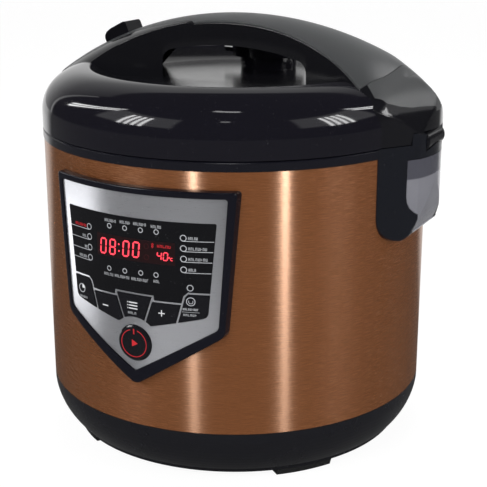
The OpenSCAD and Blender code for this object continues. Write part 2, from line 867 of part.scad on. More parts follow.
module valve_seal() {
    color("#7b7e84") at_valve()
        turned([[neck_r + 0.3, 212.2], [neck_r + 4.6, 212.2], [neck_r + 4.6, 213 - fit], [neck_r + 3.2, 213 - fit],
            [neck_r + 3.2, 215 + fit], [neck_r + 4.6, 215 + fit], [neck_r + 4.6, 216], [neck_r + 0.3, 216]]);
}

// ---------------------------------------------------------------- release and latch

module release_button() {
    color("#101114") at_axis() along_button() {
        w = button_half[0];
        across(2 * button_half[1]) polygon([[-w, arch_r - 8], [w, arch_r - 8], [w, arch_r + 5.2],
            [w - 0.6, arch_r + 6.4], [w - 2, arch_r + 6.9], [-w + 7, arch_r + 6.2],
            [-w + 3, arch_r + 5.2], [-w + 0.8, arch_r + 3.4], [-w, arch_r + 1.6]]);
        translate([0, 0, stem_foot]) cylinder(r = 4, h = arch_r - 8 - stem_foot);
    }
}

module button_spring() {
    color("#8f9398") at_axis() along_button()
        translate([0, 0, arch_r - 15.9]) coil(6.4, 1, 7.7, 3);
}

module latch_hook() {
    color("#c3c6c9") at_axis() {
        difference() {
            union() {
                across(8) polygon([[-124.2, 203.4], [-121.4, 201.8], [-121.4, 204.4], [-122.4, 204.8],
                    [-122.4, 214.4], [-120, 217.2], [-108, 217.4], [-67, 218], [-67, 219.6],
                    [-102, 220.8], [-120.6, 220.4], [-124.2, 216.6]]);
                rod(latch_at[0], latch_at[1], 3.2, -4, 4);
            }
            rod(latch_at[0], latch_at[1], 1.55, -10, 10);
        }
    }
}

module latch_pin() { color("#a7aaae") at_axis() rod(latch_at[0], latch_at[1], 1.5, -9, 9); }

module lid_screws() {
    color("#8d9196") at_axis() {
        for (a = [45:90:315]) rotate([0, 0, a]) translate([screw_ring, 0, 0]) difference() {
            union() {
                translate([0, 0, 209]) cylinder(r = 1.4, h = 9);
                translate([0, 0, 207.6]) cylinder(r = 2.3, h = 1.5);
            }
            translate([0, 0, 207]) cylinder(r = 1, h = 1.5, $fn = 6);
        }
    }
}

base_housing();
base_feet();
base_screws();
outer_shell();
top_collar();
inner_liner();
heating_plate();
sensor_cap();
sensor_spring();
sensor_bracket();
inner_pot();
power_board();
control_board();
led_display();
power_inlet();
panel_bezel();
panel_plate();
display_window();
key_timer();
key_minus();
key_menu();
key_plus();
key_cancel();
start_button();
hinge_tower();
hinge_pin();
hinge_spring();
condensate_cup();
lid_cover();
handle_arch();
handle_cover();
lid_lower();
inner_lid_plate();
lid_gasket();
steam_valve_body();
steam_valve_cap();
valve_seal();
release_button();
button_spring();
latch_hook();
latch_pin();
lid_screws();
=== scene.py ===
import math

import bmesh
import bpy
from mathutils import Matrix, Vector
from mathutils.geometry import delaunay_2d_cdt


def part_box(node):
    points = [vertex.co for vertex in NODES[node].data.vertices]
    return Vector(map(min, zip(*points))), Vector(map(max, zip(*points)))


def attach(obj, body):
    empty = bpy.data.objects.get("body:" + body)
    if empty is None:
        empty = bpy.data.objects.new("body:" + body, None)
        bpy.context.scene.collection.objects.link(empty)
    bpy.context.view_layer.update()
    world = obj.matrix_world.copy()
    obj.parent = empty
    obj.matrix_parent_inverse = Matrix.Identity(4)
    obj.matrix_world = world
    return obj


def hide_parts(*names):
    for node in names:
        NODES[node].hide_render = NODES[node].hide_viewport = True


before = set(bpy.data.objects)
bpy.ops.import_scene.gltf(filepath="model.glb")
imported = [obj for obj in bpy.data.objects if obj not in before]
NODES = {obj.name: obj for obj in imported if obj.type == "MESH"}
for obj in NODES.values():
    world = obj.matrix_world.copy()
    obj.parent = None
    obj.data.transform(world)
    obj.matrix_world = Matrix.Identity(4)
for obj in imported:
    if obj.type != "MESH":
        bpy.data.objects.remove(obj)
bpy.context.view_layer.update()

# ------------------------------------------------------------------ places
# Lengths are in mm from the bowl axis, and at() turns them into the frame's metres.
shell_lo, shell_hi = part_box("outer_shell")
AXIS = Vector(((shell_lo.x + shell_hi.x) / 2, (shell_lo.y + shell_hi.y) / 2, 0))
MM = 0.001


def at(x, y, z):
    return AXIS + Vector((x, y, z)) * MM


def mm_box(node):
    lo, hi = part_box(node)
    return (lo - AXIS) / MM, (hi - AXIS) / MM


bezel_lo = mm_box("panel_bezel")[0]
cover_hi = mm_box("handle_cover")[1]
arch_hi = mm_box("handle_arch")[1]
lid_lo, lid_hi = mm_box("lid_cover")
SHELL_R = (shell_hi.x - shell_lo.x) / 2 / MM
PANEL_R = -bezel_lo.y
LID_R = lid_hi.x
ARCH_TOP = cover_hi.z
NOSE_X = arch_hi.x

# ------------------------------------------------------------------ camera
CAM_AZIMUTH = math.radians(27.5)
CAM_OUT = 780.14
CAM_UP = 358.2
CAM_PITCH = math.radians(16.91)
CAM_YAW = math.radians(0.379)
CAM_LENS = 86.52
camera = bpy.data.objects.new("camera", bpy.data.cameras.new("camera"))
bpy.context.scene.collection.objects.link(camera)
camera.data.sensor_width = 36
camera.data.lens = CAM_LENS
camera.data.clip_start = 0.05
camera.data.clip_end = 30
camera.location = at(CAM_OUT * math.sin(CAM_AZIMUTH), -CAM_OUT * math.cos(CAM_AZIMUTH), CAM_UP)
camera.rotation_euler = (math.pi / 2 - CAM_PITCH, 0, CAM_AZIMUTH - CAM_YAW)
bpy.context.scene.camera = camera
bpy.context.scene.view_settings.view_transform = "Standard"


# ------------------------------------------------------------------ material helpers
class Tree:
    """Shorthand for building a node tree."""

    def __init__(self, material):
        self.nodes = material.node_tree.nodes
        self.links = material.node_tree.links

    def add(self, kind, **sockets):
        node = self.nodes.new(kind)
        for name, value in sockets.items():
            self.set(node, name, value)
        return node

    def set(self, node, name, value):
        key = int(name[1:]) if name[0] == "i" and name[1:].isdigit() else name.replace("_", " ")
        if isinstance(value, bpy.types.NodeSocket):
            self.links.new(value, node.inputs[key])
        else:
            node.inputs[key].default_value = value

    def noise(self, vector, scale, detail=3.0, rough=0.5):
        return self.add("ShaderNodeTexNoise", Vector=vector, Scale=scale, Detail=detail,
                        Roughness=rough).outputs["Fac"]

    def ramp(self, factor, low, high, at0=0.0, at1=1.0):
        node = self.add("ShaderNodeMapRange", Value=factor, From_Min=at0, From_Max=at1,
                        To_Min=low, To_Max=high)
        return node.outputs["Result"]

    def blend(self, factor, a, b):
        node = self.nodes.new("ShaderNodeMix")
        node.data_type = "RGBA"
        self.set(node, "i0", factor)
        for key, value in (("i6", a), ("i7", b)):
            self.set(node, key, value if isinstance(value, bpy.types.NodeSocket) else (*value, 1))
        return node.outputs[2]

    def math(self, operation, a, b=0.0):
        node = self.nodes.new("ShaderNodeMath")
        node.operation = operation
        self.set(node, "i0", a)
        self.set(node, "i1", b)
        return node.outputs[0]

    def stretched(self, scale):
        coords = self.add("ShaderNodeTexCoord").outputs["Object"]
        return self.add("ShaderNodeMapping", Vector=coords, Scale=scale).outputs["Vector"]

    def around_axis(self, round_scale, up_scale):
        """Coordinates that run round the bowl axis: angle and height."""
        coords = self.add("ShaderNodeTexCoord").outputs["Object"]
        part = self.add("ShaderNodeSeparateXYZ", Vector=coords)
        x = self.math("SUBTRACT", part.outputs["X"], AXIS.x)
        y = self.math("SUBTRACT", part.outputs["Y"], AXIS.y)
        angle = self.math("ARCTAN2", y, x)
        out = self.nodes.new("ShaderNodeCombineXYZ")
        self.set(out, "X", self.math("MULTIPLY", angle, round_scale))
        self.set(out, "Y", self.math("MULTIPLY", part.outputs["Z"], up_scale))
        return out.outputs["Vector"]


def new_material(name):
    material = bpy.data.materials.new(name)
    material.use_nodes = True
    tree = Tree(material)
    shader = material.node_tree.nodes["Principled BSDF"]
    return material, tree, shader


def bump(tree, shader, height, strength, distance):
    node = tree.add("ShaderNodeBump", Height=height, Strength=strength, Distance=distance)
    tree.set(shader, "Normal", node.outputs["Normal"])


def plastic(name, dark, light, rough, spread=0.05, grain=0.0, grain_scale=2500, ior=1.5):
    """Moulded plastic: faint cloudiness, uneven gloss, dust specks and a fine grain."""
    material, tree, shader = new_material(name)
    coords = tree.stretched((1, 1, 1))
    cloud = tree.noise(coords, 9, 4)
    specks = tree.ramp(tree.noise(coords, 900, 2), 0, 1, 0.69, 0.78)
    tint = tree.blend(cloud, dark, light)
    dusty = tree.blend(tree.math("MULTIPLY", specks, 0.10), tint, (0.35, 0.35, 0.36))
    tree.set(shader, "Base_Color", dusty)
    smudge = tree.ramp(tree.noise(coords, 22, 5, 0.6), rough - spread, rough + spread, 0.3, 0.7)
    tree.set(shader, "Roughness", smudge)
    shader.inputs["IOR"].default_value = ior
    if grain:
        bump(tree, shader, tree.noise(coords, grain_scale, 2), grain, 0.0001)
    return material


def brushed(name, dark, light, rough, round_scale, up_scale, metallic=1.0, aniso=0.6, strength=0.08,
            ior=1.5, tint=(1, 1, 1)):
    """Metal brushed round the bowl axis."""
    material, tree, shader = new_material(name)
    fine = tree.noise(tree.around_axis(round_scale, up_scale), 1.0, 4, 0.65)
    broad = tree.noise(tree.around_axis(round_scale / 3, up_scale / 9), 1.0, 2)
    mix = tree.math("ADD", tree.math("MULTIPLY", fine, 0.7), tree.math("MULTIPLY", broad, 0.3))
    tree.set(shader, "Base_Color", tree.blend(tree.ramp(mix, 0, 1, 0.3, 0.7), dark, light))
    tree.set(shader, "Roughness", tree.ramp(fine, rough - 0.06, rough + 0.08, 0.3, 0.7))
    shader.inputs["Metallic"].default_value = metallic
    shader.inputs["IOR"].default_value = ior
    shader.inputs["Specular Tint"].default_value = (*tint, 1)
    shader.inputs["Anisotropic"].default_value = aniso
    shader.inputs["Anisotropic Rotation"].default_value = 0.25
    tangent = tree.nodes.new("ShaderNodeTangent")
    tangent.direction_type = "RADIAL"
    tangent.axis = "Z"
    tree.set(shader, "Tangent", tangent.outputs["Tangent"])
    bump(tree, shader, fine, strength, 0.0001)
    return material


def glowing(name, colour, strength):
    material, tree, shader = new_material(name)
    coords = tree.stretched((1, 1, 1))
    tree.set(shader, "Base_Color", tree.blend(tree.noise(coords, 700, 2), colour,
                                              tuple(c * 0.8 for c in colour)))
    shader.inputs["Emission Color"].default_value = (*colour, 1)
    shader.inputs["Emission Strength"].default_value = strength
    shader.inputs["Roughness"].default_value = 0.3
    return material


M = {
    "lid": plastic("lid_black", (0.007, 0.0065, 0.010), (0.009, 0.0085, 0.013), 0.07, 0.03),
    "strip": plastic("strip_satin", (0.043, 0.045, 0.047), (0.053, 0.055, 0.057), 0.42, 0.04,
                     0.10, 3200),
    "dish": plastic("dish_black", (0.008, 0.008, 0.010), (0.011, 0.011, 0.014), 0.19, 0.04,
                    ior=1.62),
    "collar": plastic("collar_black", (0.006, 0.006, 0.010), (0.009, 0.009, 0.014), 0.2, 0.04),
    "base": plastic("base_black", (0.007, 0.007, 0.010), (0.011, 0.011, 0.015), 0.28, 0.05,
                    0.05, 2600),
    "tower": plastic("tower_black", (0.006, 0.007, 0.011), (0.010, 0.011, 0.016), 0.24, 0.04,
                     0.03, 2600),
    "rubber": plastic("foot_rubber", (0.012, 0.012, 0.013), (0.022, 0.022, 0.023), 0.7, 0.08,
                      0.4, 1500),
    "inner": plastic("inner_black", (0.020, 0.020, 0.022), (0.032, 0.032, 0.035), 0.5, 0.06,
                     0.3, 1800),
    "bezel": plastic("bezel_black", (0.006, 0.006, 0.010), (0.009, 0.009, 0.014), 0.08, 0.02,
                     ior=1.33),
    "button": plastic("button_black", (0.004, 0.004, 0.006), (0.007, 0.007, 0.009), 0.30, 0.04,
                      ior=1.2),
    "window": plastic("window_black", (0.004, 0.004, 0.005), (0.006, 0.006, 0.008), 0.10, 0.03),
    "key": plastic("key_black", (0.006, 0.006, 0.008), (0.009, 0.009, 0.012), 0.16, 0.04),
    "silicone": plastic("silicone_grey", (0.16, 0.165, 0.17), (0.22, 0.225, 0.23), 0.55, 0.06,
                        0.2, 900),
    "board": plastic("board_green", (0.015, 0.09, 0.03), (0.03, 0.14, 0.05), 0.4, 0.1, 0.3, 400),
    "copper": brushed("copper_brushed", (0.112, 0.038, 0.0125), (0.148, 0.0525, 0.018), 0.25, 14,
                      5200, metallic=0.25, aniso=1.0, ior=2.2, tint=(1, 0.70, 0.51)),
    "silver": brushed("silver_satin", (0.50, 0.505, 0.535), (0.57, 0.575, 0.605), 0.32, 18, 4200,
                      metallic=0.8, aniso=0.5, strength=0.03),
    "steel": brushed("steel_plain", (0.38, 0.39, 0.40), (0.55, 0.56, 0.57), 0.30, 30, 2400),
    "alloy": brushed("alloy_spun", (0.55, 0.56, 0.57), (0.72, 0.73, 0.74), 0.34, 8, 2600),
    "coating": plastic("pot_coating", (0.030, 0.030, 0.032), (0.05, 0.05, 0.053), 0.38, 0.06,
                       0.5, 1400),
    "print": plastic("print_grey", (0.34, 0.35, 0.37), (0.44, 0.45, 0.47), 0.5, 0.05),
    "rule": plastic("rule_silver", (0.42, 0.43, 0.46), (0.52, 0.53, 0.56), 0.4, 0.05),
    "red": glowing("print_red", (0.42, 0.012, 0.018), 0.35),
    "led": glowing("led_red", (1.0, 0.055, 0.085), 1.05),
    "ghost": glowing("led_haze", (0.014, 0.004, 0.005), 0.2),
    "dim": glowing("led_dim", (0.035, 0.005, 0.006), 0.5),
    "soft": glowing("led_soft", (0.42, 0.015, 0.02), 0.6),
    "print_bright": plastic("print_bright", (0.74, 0.75, 0.77), (0.84, 0.85, 0.87), 0.45, 0.05),
}

smoke, smoke_tree, smoke_shader = new_material("cup_smoke")
smoke_coords = smoke_tree.stretched((1, 1, 1))
# Painted shade: above this height the cup's colour is darker, standing in for the dark collar seen
# through the cup; below it is the cup's paler smoke tint.
CUP_SHADE_LINE = 187.5 * MM
cup_height = smoke_tree.add("ShaderNodeSeparateXYZ", Vector=smoke_coords).outputs["Z"]
cup_haze = smoke_tree.noise(smoke_coords, 30, 3)
smoke_tree.set(smoke_shader, "Base_Color", smoke_tree.blend(
    smoke_tree.ramp(cup_height, 0, 1, CUP_SHADE_LINE - 0.4 * MM, CUP_SHADE_LINE + 0.4 * MM),
    smoke_tree.blend(cup_haze, (0.30, 0.30, 0.34), (0.37, 0.37, 0.41)),
    smoke_tree.blend(cup_haze, (0.10, 0.10, 0.125), (0.13, 0.13, 0.16))))
smoke_tree.set(smoke_shader, "Roughness", smoke_tree.ramp(
    smoke_tree.noise(smoke_coords, 60, 4), 0.12, 0.24, 0.3, 0.7))
smoke_shader.inputs["Transmission Weight"].default_value = 0.35
smoke_shader.inputs["IOR"].default_value = 1.49
bump(smoke_tree, smoke_shader, smoke_tree.noise(smoke_coords, 120, 2), 0.05, 0.0002)
M["smoke"] = smoke

SATIN_EDGE = [(100, 35.0), (107.5, 36.1), (114.3, 40.4), (121.2, 36.8), (126.8, 29.8), (132, 21.6),
              (135.9, 14.1), (139, 8.6), (141.4, 4.5), (142, 0.0)]
SATIN_WIDE, SATIN_FOOT = 45.0, 227.0


def two_tone(name, glossy, satin, rough_glossy, rough_satin):
    """Glossy plastic that is satin on the hinge block's top, inside an outline given in mm."""
    material, tree, shader = new_material(name)
    coords = tree.stretched((1, 1, 1))
    part = tree.add("ShaderNodeSeparateXYZ", Vector=coords)
    x = tree.math("DIVIDE", tree.math("SUBTRACT", part.outputs["X"], AXIS.x), MM)
    y = tree.math("DIVIDE", tree.math("SUBTRACT", part.outputs["Y"], AXIS.y), MM)
    y = tree.math("ABSOLUTE", y)
    edge_lo, edge_hi = SATIN_EDGE[0][0], SATIN_EDGE[-1][0]
    curve = tree.add("ShaderNodeValToRGB", Fac=tree.ramp(x, 0, 1, edge_lo, edge_hi))
    points = curve.color_ramp.elements
    while len(points) < len(SATIN_EDGE):
        points.new(0.5)
    for point, (at_x, edge) in zip(points, SATIN_EDGE):
        point.position = (at_x - edge_lo) / (edge_hi - edge_lo)
        point.color = (edge / SATIN_WIDE,) * 3 + (1,)
    edge = tree.math("MULTIPLY", curve.outputs["Color"], SATIN_WIDE)
    inner = tree.ramp(tree.math("SUBTRACT", edge, y), 0, 1, -0.3, 0.3)
    mask = tree.math("MULTIPLY", inner, tree.ramp(x, 0, 1, edge_lo, edge_lo + 0.5))
    above = tree.ramp(part.outputs["Z"], 0, 1, (SATIN_FOOT - 0.4) * MM, (SATIN_FOOT + 0.4) * MM)
    mask = tree.math("MULTIPLY", mask, above)
    cloud = tree.noise(coords, 9, 4)
    tree.set(shader, "Base_Color",
             tree.blend(mask, tree.blend(cloud, *glossy), tree.blend(cloud, *satin)))
    uneven = tree.ramp(tree.noise(coords, 22, 5, 0.6), -0.03, 0.03, 0.3, 0.7)
    tree.set(shader, "Roughness",
             tree.math("ADD", tree.ramp(mask, rough_glossy, rough_satin), uneven))
    bump(tree, shader, tree.noise(coords, 3200, 2), 0.06, 0.0001)
    return material


M["arch"] = two_tone("arch_black", ((0.006, 0.006, 0.008), (0.009, 0.009, 0.011)),
                     ((0.066, 0.068, 0.070), (0.078, 0.080, 0.082)), 0.10, 0.42)

CAD_MATERIAL = {
    "base_housing": "base", "base_feet": "rubber", "base_screws": "steel",
    "outer_shell": "copper", "top_collar": "collar", "inner_liner": "alloy",
    "heating_plate": "alloy", "sensor_cap": "alloy", "sensor_spring": "steel",
    "sensor_bracket": "steel", "inner_pot": "coating", "power_board": "board",
    "control_board": "board", "led_display": "window", "power_inlet": "base",
    "panel_bezel": "bezel", "panel_plate": "silver", "display_window": "window",
    "key_timer": "key", "key_minus": "key", "key_menu": "key", "key_plus": "key",
    "key_cancel": "key", "start_button": "key", "hinge_tower": "tower",
    "hinge_pin": "steel", "hinge_spring": "steel", "condensate_cup": "smoke",
    "lid_cover": "lid", "handle_arch": "arch", "handle_cover": "strip",
    "lid_lower": "inner", "inner_lid_plate": "alloy", "lid_gasket": "silicone",
    "steam_valve_body": "lid", "steam_valve_cap": "lid", "valve_seal": "silicone",
    "release_button": "button", "button_spring": "steel", "latch_hook": "steel",
    "latch_pin": "steel", "lid_screws": "steel",
}
for node, key in CAD_MATERIAL.items():
    mesh = NODES[node].data
    mesh.materials.clear()
    mesh.materials.append(M[key])


# ------------------------------------------------------------------ mesh helpers
def piece(name, verts, faces, material, body, slot, sharp=35, replaced=()):
    """Closed mesh from points in mm."""
    mesh = bpy.data.meshes.new(name)
    mesh.from_pydata([at(*v) for v in verts], [], faces)
    bm = bmesh.new()
    bm.from_mesh(mesh)
    bmesh.ops.remove_doubles(bm, verts=bm.verts, dist=2e-6)
    bmesh.ops.dissolve_degenerate(bm, edges=bm.edges, dist=1e-6)
    bmesh.ops.recalc_face_normals(bm, faces=bm.faces)
    for face in bm.faces:
        face.smooth = True
    for edge in bm.edges:
        edge.smooth = len(edge.link_faces) == 2 and edge.calc_face_angle(0) < math.radians(sharp)
    bm.to_mesh(mesh)
    bm.free()
    mesh.materials.append(M[material])
    obj = bpy.data.objects.new(name, mesh)
    bpy.context.scene.collection.objects.link(obj)
    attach(obj, body)
    if replaced:
        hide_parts(*replaced)
    return obj


def rings(loops, closed_ends=True):
    """Faces that join loops of equal length, with a flat face on each end."""
    verts = [p for loop in loops for p in loop]
    count = len(loops[0])
    faces = []
    for i in range(len(loops) - 1):
        for k in range(count):
            a, b = i * count + k, i * count + (k + 1) % count
            faces.append((a, b, b + count, a + count))
    if closed_ends:
        faces.append(tuple(reversed(range(count))))
        faces.append(tuple(range((len(loops) - 1) * count, len(loops) * count)))
    return verts, faces


def arc(cx, cy, r, a0, a1, steps):
    """Points of an arc, angles in degrees."""
    return [(cx + r * math.cos(math.radians(a0 + (a1 - a0) * i / steps)),
             cy + r * math.sin(math.radians(a0 + (a1 - a0) * i / steps)))
            for i in range(steps + 1)]


# ------------------------------------------------------------------ handle
ARCH_X, ARCH_R, CROWN_R = 6.0, 238.0, 67.0
ARCH_Z = ARCH_TOP - ARCH_R
WAIST, WAIST_CUT = 20.0, 245.0
END_R = LID_R - 2.2
HIP_LEFT, HIP_RIGHT = 14.0, 20.0
LEFT_X = 1.5 - LID_R
STRIP = 1.6
STRIP_END, STRIP_END_R = 116.0, 79.5
NOSE_ROUND = 60.0
EDGE_R = 0.9
SIDE_BAND = 1.2
CORNER_TURN = math.radians(27.5)
CORNER = [(90, 265), (114, 245.6), (120.5, 240), (123.6, 236.5), (126.3, 232.5), (128.3, 228.5),
          (129.9, 223.5), (131, 218), (131.8, 212)]
BAND = [(-160, 24), (-97, 24), (-84, 21.5), (-67, 18.6), (-20, 18.9), (8, 20.6), (12, 70),
        (160, 70)]


def along(line, x):
    """Height at x of a line through points in order of x."""
    for (x0, z0), (x1, z1) in zip(line, line[1:]):
        if x <= x1:
            return z0 + (z1 - z0) * max(x - x0, 0) / (x1 - x0)
    return line[-1][1]


def half_width(x):
    w = WAIST + WAIST_CUT - math.sqrt(WAIST_CUT ** 2 - (x - ARCH_X) ** 2)
    if x < 0:
        return min(w, math.sqrt(max(END_R ** 2 - x * x, 0)))
    nose = math.sqrt(max(NOSE_ROUND ** 2 - (x - NOSE_X + NOSE_ROUND) ** 2, 0)) \
        if x > NOSE_X - NOSE_ROUND else 99
    slant = 75 - (x - 100) * 54 / 37.8 if x < 137.8 else 21
    return min(w, slant, nose)


def soft_min(a, b, k):
    h = max(k - abs(a - b), 0) / k
    return min(a, b) - h * h * k / 4


def hip(x, cx, r):
    """Height of a hip's arc at x, and of its wall beyond."""
    cz = ARCH_Z + math.sqrt((ARCH_R - r) ** 2 - (cx - ARCH_X) ** 2)
    return cz + math.sqrt(max(r * r - (x - cx) ** 2, 0))


def strap_top(x, y):
    r = ARCH_R - CROWN_R + math.sqrt(CROWN_R ** 2 - min(abs(y), 55) ** 2)
    z = ARCH_Z + math.sqrt(r * r - (x - ARCH_X) ** 2)
    if x < LEFT_X + HIP_LEFT:
        z = soft_min(z, hip(max(x, LEFT_X), LEFT_X + HIP_LEFT, HIP_LEFT), 1.5)
    if x > NOSE_X - HIP_RIGHT:
        z = soft_min(z, hip(min(x, NOSE_X), NOSE_X - HIP_RIGHT, HIP_RIGHT), 1.5)
    corner = x * math.cos(CORNER_TURN) + abs(y) * math.sin(CORNER_TURN)
    return soft_min(z, along(CORNER, corner), 1.5) if corner > 90 else z


def band_half(x):
    """Half width of the strip: a narrow band at the latch's end, the whole handle beyond it."""
    w, band = half_width(x), along(BAND, x)
    half = band + (w - band) * smooth_step(x, -30, -8) if x < 8 else band
    return w if half > w - SIDE_BAND else half


def smooth_step(x, a, b):
    t = min(max((x - a) / (b - a), 0), 1)
    return t * t * (3 - 2 * t)


def dome_profile():
    """Outer line of the lid in section, from the lower edge to the dish, and its arcs."""
    def way(a):
        return math.cos(math.radians(a)), math.sin(math.radians(a))
    shoulder, crown, rim, fillet = 24.5, 40.0, 4.0, 18.0
    bend, crest, lip, floor_z = 55, 86, 155, 225.0
    sx, sz = LID_R - shoulder, 219.0
    cx, cz = sx - (crown - shoulder) * way(bend)[0], sz - (crown - shoulder) * way(bend)[1]
    rx, rz = cx + (crown - rim) * way(crest)[0], cz + (crown - rim) * way(crest)[1]
    tx, tz = rx + rim * way(lip)[0], rz + rim * way(lip)[1]
    foot = floor_z + fillet * (1 - way(lip)[1])
    run = (tz - foot) / math.sin(math.radians(lip - 90))
    dx = tx + run * way(lip + 90)[0] - fillet * way(lip - 180)[0]
    dz = tz + run * way(lip + 90)[1] - fillet * way(lip - 180)[1]
    line = [(LID_R, lid_lo.z)]
    line += arc(sx, sz, shoulder, 0, bend, 22)
    line += arc(cx, cz, crown, bend, crest, 14)[1:]
    line += arc(rx, rz, rim, crest, lip, 10)[1:]
    line += arc(dx, dz, fillet, lip - 180, -90, 14)
    line += [(r, floor_z) for r in (60, 45, 30, 15)]
    arcs = [(sx, sz, shoulder, 0, bend, 1), (cx, cz, crown, bend, crest, 1),
            (rx, rz, rim, crest, lip, 1), (dx, dz, fillet, -90, lip - 180, -1)]
    return line, arcs


DOME, DOME_ARCS = dome_profile()


def dome_z(r):
    line = sorted(DOME)
    if r <= line[0][0]:
        return line[0][1]
    for (r0, z0), (r1, z1) in zip(line, line[1:]):
        if r <= r1:
            return max(z0, z1) if r1 - r0 < 1e-6 else z0 + (z1 - z0) * (r - r0) / (r1 - r0)
    return lid_lo.z


DISH_FLOOR = 225.0
BOWL_R, BOWL_RIM, BOWL_SLOPE = 74.0, 95.03, 0.70
BOWL_FLOOR = 245.26 - BOWL_SLOPE * (BOWL_RIM - BOWL_R) / 2


def on_dish(p):
    r = math.hypot(p.x, p.y)
    return r < BOWL_RIM and abs(p.z - dome_z(r)) < 0.1


def shallow_dish(p):
    """The visible dish is a shallow bowl that stands higher than the CAD's floor."""
    if not on_dish(p):
        return p
    out = max(math.hypot(p.x, p.y) - BOWL_R, 0)
    return Vector((p.x, p.y, BOWL_FLOOR + BOWL_SLOPE * out ** 2 / (BOWL_RIM - BOWL_R) / 2))


def dome_normal(p):
    """Direction square to the dome at a point on it, or None away from it."""
    r = math.hypot(p.x, p.y)
    if on_dish(p):
        slope = BOWL_SLOPE * max(r - BOWL_R, 0) / (BOWL_RIM - BOWL_R) / max(r, 1)
        return Vector((-slope * p.x, -slope * p.y, 1)).normalized()
    if abs(r - LID_R) < 0.05 and p.z < 219.05:
        return Vector((p.x / r, p.y / r, 0))
    for cx, cz, size, a0, a1, side in DOME_ARCS:
        out, up = r - cx, p.z - cz
        turn = math.degrees(math.atan2(up, out))
        if abs(math.hypot(out, up) - size) < 0.08 and a0 - 1 < turn < a1 + 1:
            return Vector((p.x / r * out, p.y / r * out, up)).normalized() * side
    return None




def smooth_copy(name, node, body, material, direction, moved):
    """Copy of a CAD node's mesh that shades as the true surface where direction() knows it."""
    mesh = NODES[node].data.copy()
    mesh.name = name
    turned = [tuple(c.vector) for c in mesh.corner_normals]
    points = [(v.co - AXIS) / MM for v in mesh.vertices]
    known = [direction(p) for p in points]
    for vertex, p in zip(mesh.vertices, points):
        vertex.co = at(*moved(p))
    mesh.update()
    for face in mesh.polygons:
        for corner in face.loop_indices:
            n = known[mesh.loops[corner].vertex_index]
            if n and n.dot(face.normal) > 0.8:
                turned[corner] = tuple(n)
    mesh.normals_split_custom_set(turned)
    mesh.materials.clear()
    mesh.materials.append(M[material])
    obj = bpy.data.objects.new(name, mesh)
    bpy.context.scene.collection.objects.link(obj)
    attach(obj, body)
    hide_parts(node)
    return obj


lid_shell = smooth_copy("lid_shell", "lid_cover", "lid", "lid", dome_normal,
                        shallow_dish)
lid_shell.data.materials.append(M["dish"])
for face in lid_shell.data.polygons:
    centre = (face.center - AXIS) / MM
    if math.hypot(centre.x, centre.y) < BOWL_RIM and centre.z > DISH_FLOOR:
        face.material_index = 1

# Hand gap under the handle
GAP_LEFT, GAP_RIGHT, GAP_CORNER = ARCH_X - 48, ARCH_X + 58, 8.0
ROOF_R = ARCH_R - STRIP - 17.6
GAP_LEAN = 0.80
BLOCK_FOOT, EAR_TOP, EAR_HALF, EAR_X = 209.2, 216.4, 26.1, 127.1
STEP = 0.04


def gap_roof(x):
    """Height of the gap's roof at x, or None outside the gap."""
    if not GAP_LEFT < x < GAP_RIGHT:
        return None
    near = GAP_LEFT + GAP_CORNER if x < ARCH_X else GAP_RIGHT - GAP_CORNER
    if abs(x - ARCH_X) > abs(near - ARCH_X):
        z = ARCH_Z + math.sqrt((ROOF_R - GAP_CORNER) ** 2 - (near - ARCH_X) ** 2)
        return z + math.sqrt(max(GAP_CORNER ** 2 - (x - near) ** 2, 0))
    return roof_z(x)


def roof_z(x):
    return ARCH_Z + math.sqrt(ROOF_R ** 2 - (x - ARCH_X) ** 2)


def lean(x):
    """Slope in plan of the underside's loops: the gap's left end runs back and to the left."""
    return GAP_LEAN * smooth_step(x, -120, -50) * (1 - smooth_step(x, -34, 30))


def under(station, x, y):
    """Underside of the arch: the gap's roof, the lid's surface, or the foot of the hinge block."""
    roof = gap_roof(station)
    if roof is not None:
        return roof + roof_z(x) - roof_z(station)
    r = math.hypot(x, y)
    if x > 0 and r > LID_R - 3:
        return EAR_TOP if x > EAR_X and abs(y) < EAR_HALF else BLOCK_FOOT
    return dome_z(min(r, LID_R - 1.5)) - 1.0


def cross_section(xs, bent, top, low, inset=0.0, wide=half_width, marks=False):
    """Loop of points round the strap; bent pulls its middle to the right, as the strip's end.

    With marks, the top has points where the strip's band ends.
    """
    def x_at(y):
        return xs - bent * (STRIP_END_R - math.sqrt(STRIP_END_R ** 2 - min(abs(y), 70) ** 2))
    w = wide(xs)
    for _ in range(6):
        w = wide(x_at(w))
    w = max(w - inset, 0.05)
    e = min(EDGE_R, w * 0.6)
    ys = [(w - e) * math.sin(math.radians(a)) for a in range(-90, 91, 6)]
    if marks:
        band = band_half(xs) if band_half(xs) < w - SIDE_BAND else 99
        ys = sorted(ys + [side * min(band + d, w - e) for side in (-1, 1) for d in (0.08, 0.22)])
    loop = []
    for a in (90, 60, 30):
        y = -(w - e) - e * math.sin(math.radians(a))
        loop.append((x_at(y), y, top(x_at(y), w - e) - e * (1 - math.cos(math.radians(a)))))
    loop += [(x_at(y), y, top(x_at(y), y)) for y in ys]
    for a in (30, 60, 90):
        y = (w - e) + e * math.sin(math.radians(a))
        loop.append((x_at(y), y, top(x_at(y), w - e) - e * (1 - math.cos(math.radians(a)))))
    sides = [w, 0.8 * w, EAR_HALF + STEP, EAR_HALF - STEP, 12, 0]
    sides = [min(s, w) for s in sides]
    ends = sides + [-s for s in sides[-2::-1]]
    for y in ends:
        x = x_at(y) - (lean(xs) * (y + w) if marks else 0)
        z = low(xs, x, y)
        loop.append((x, y, min(z, loop[0][2] - 0.02) if abs(y) >= w - 1e-6 else z))
    return loop


def strip_depth(x):
    return STRIP + 8 * smooth_step(-x, 119.5, 124.5)


def bend_of(x):
    return smooth_step(x, 40, STRIP_END)


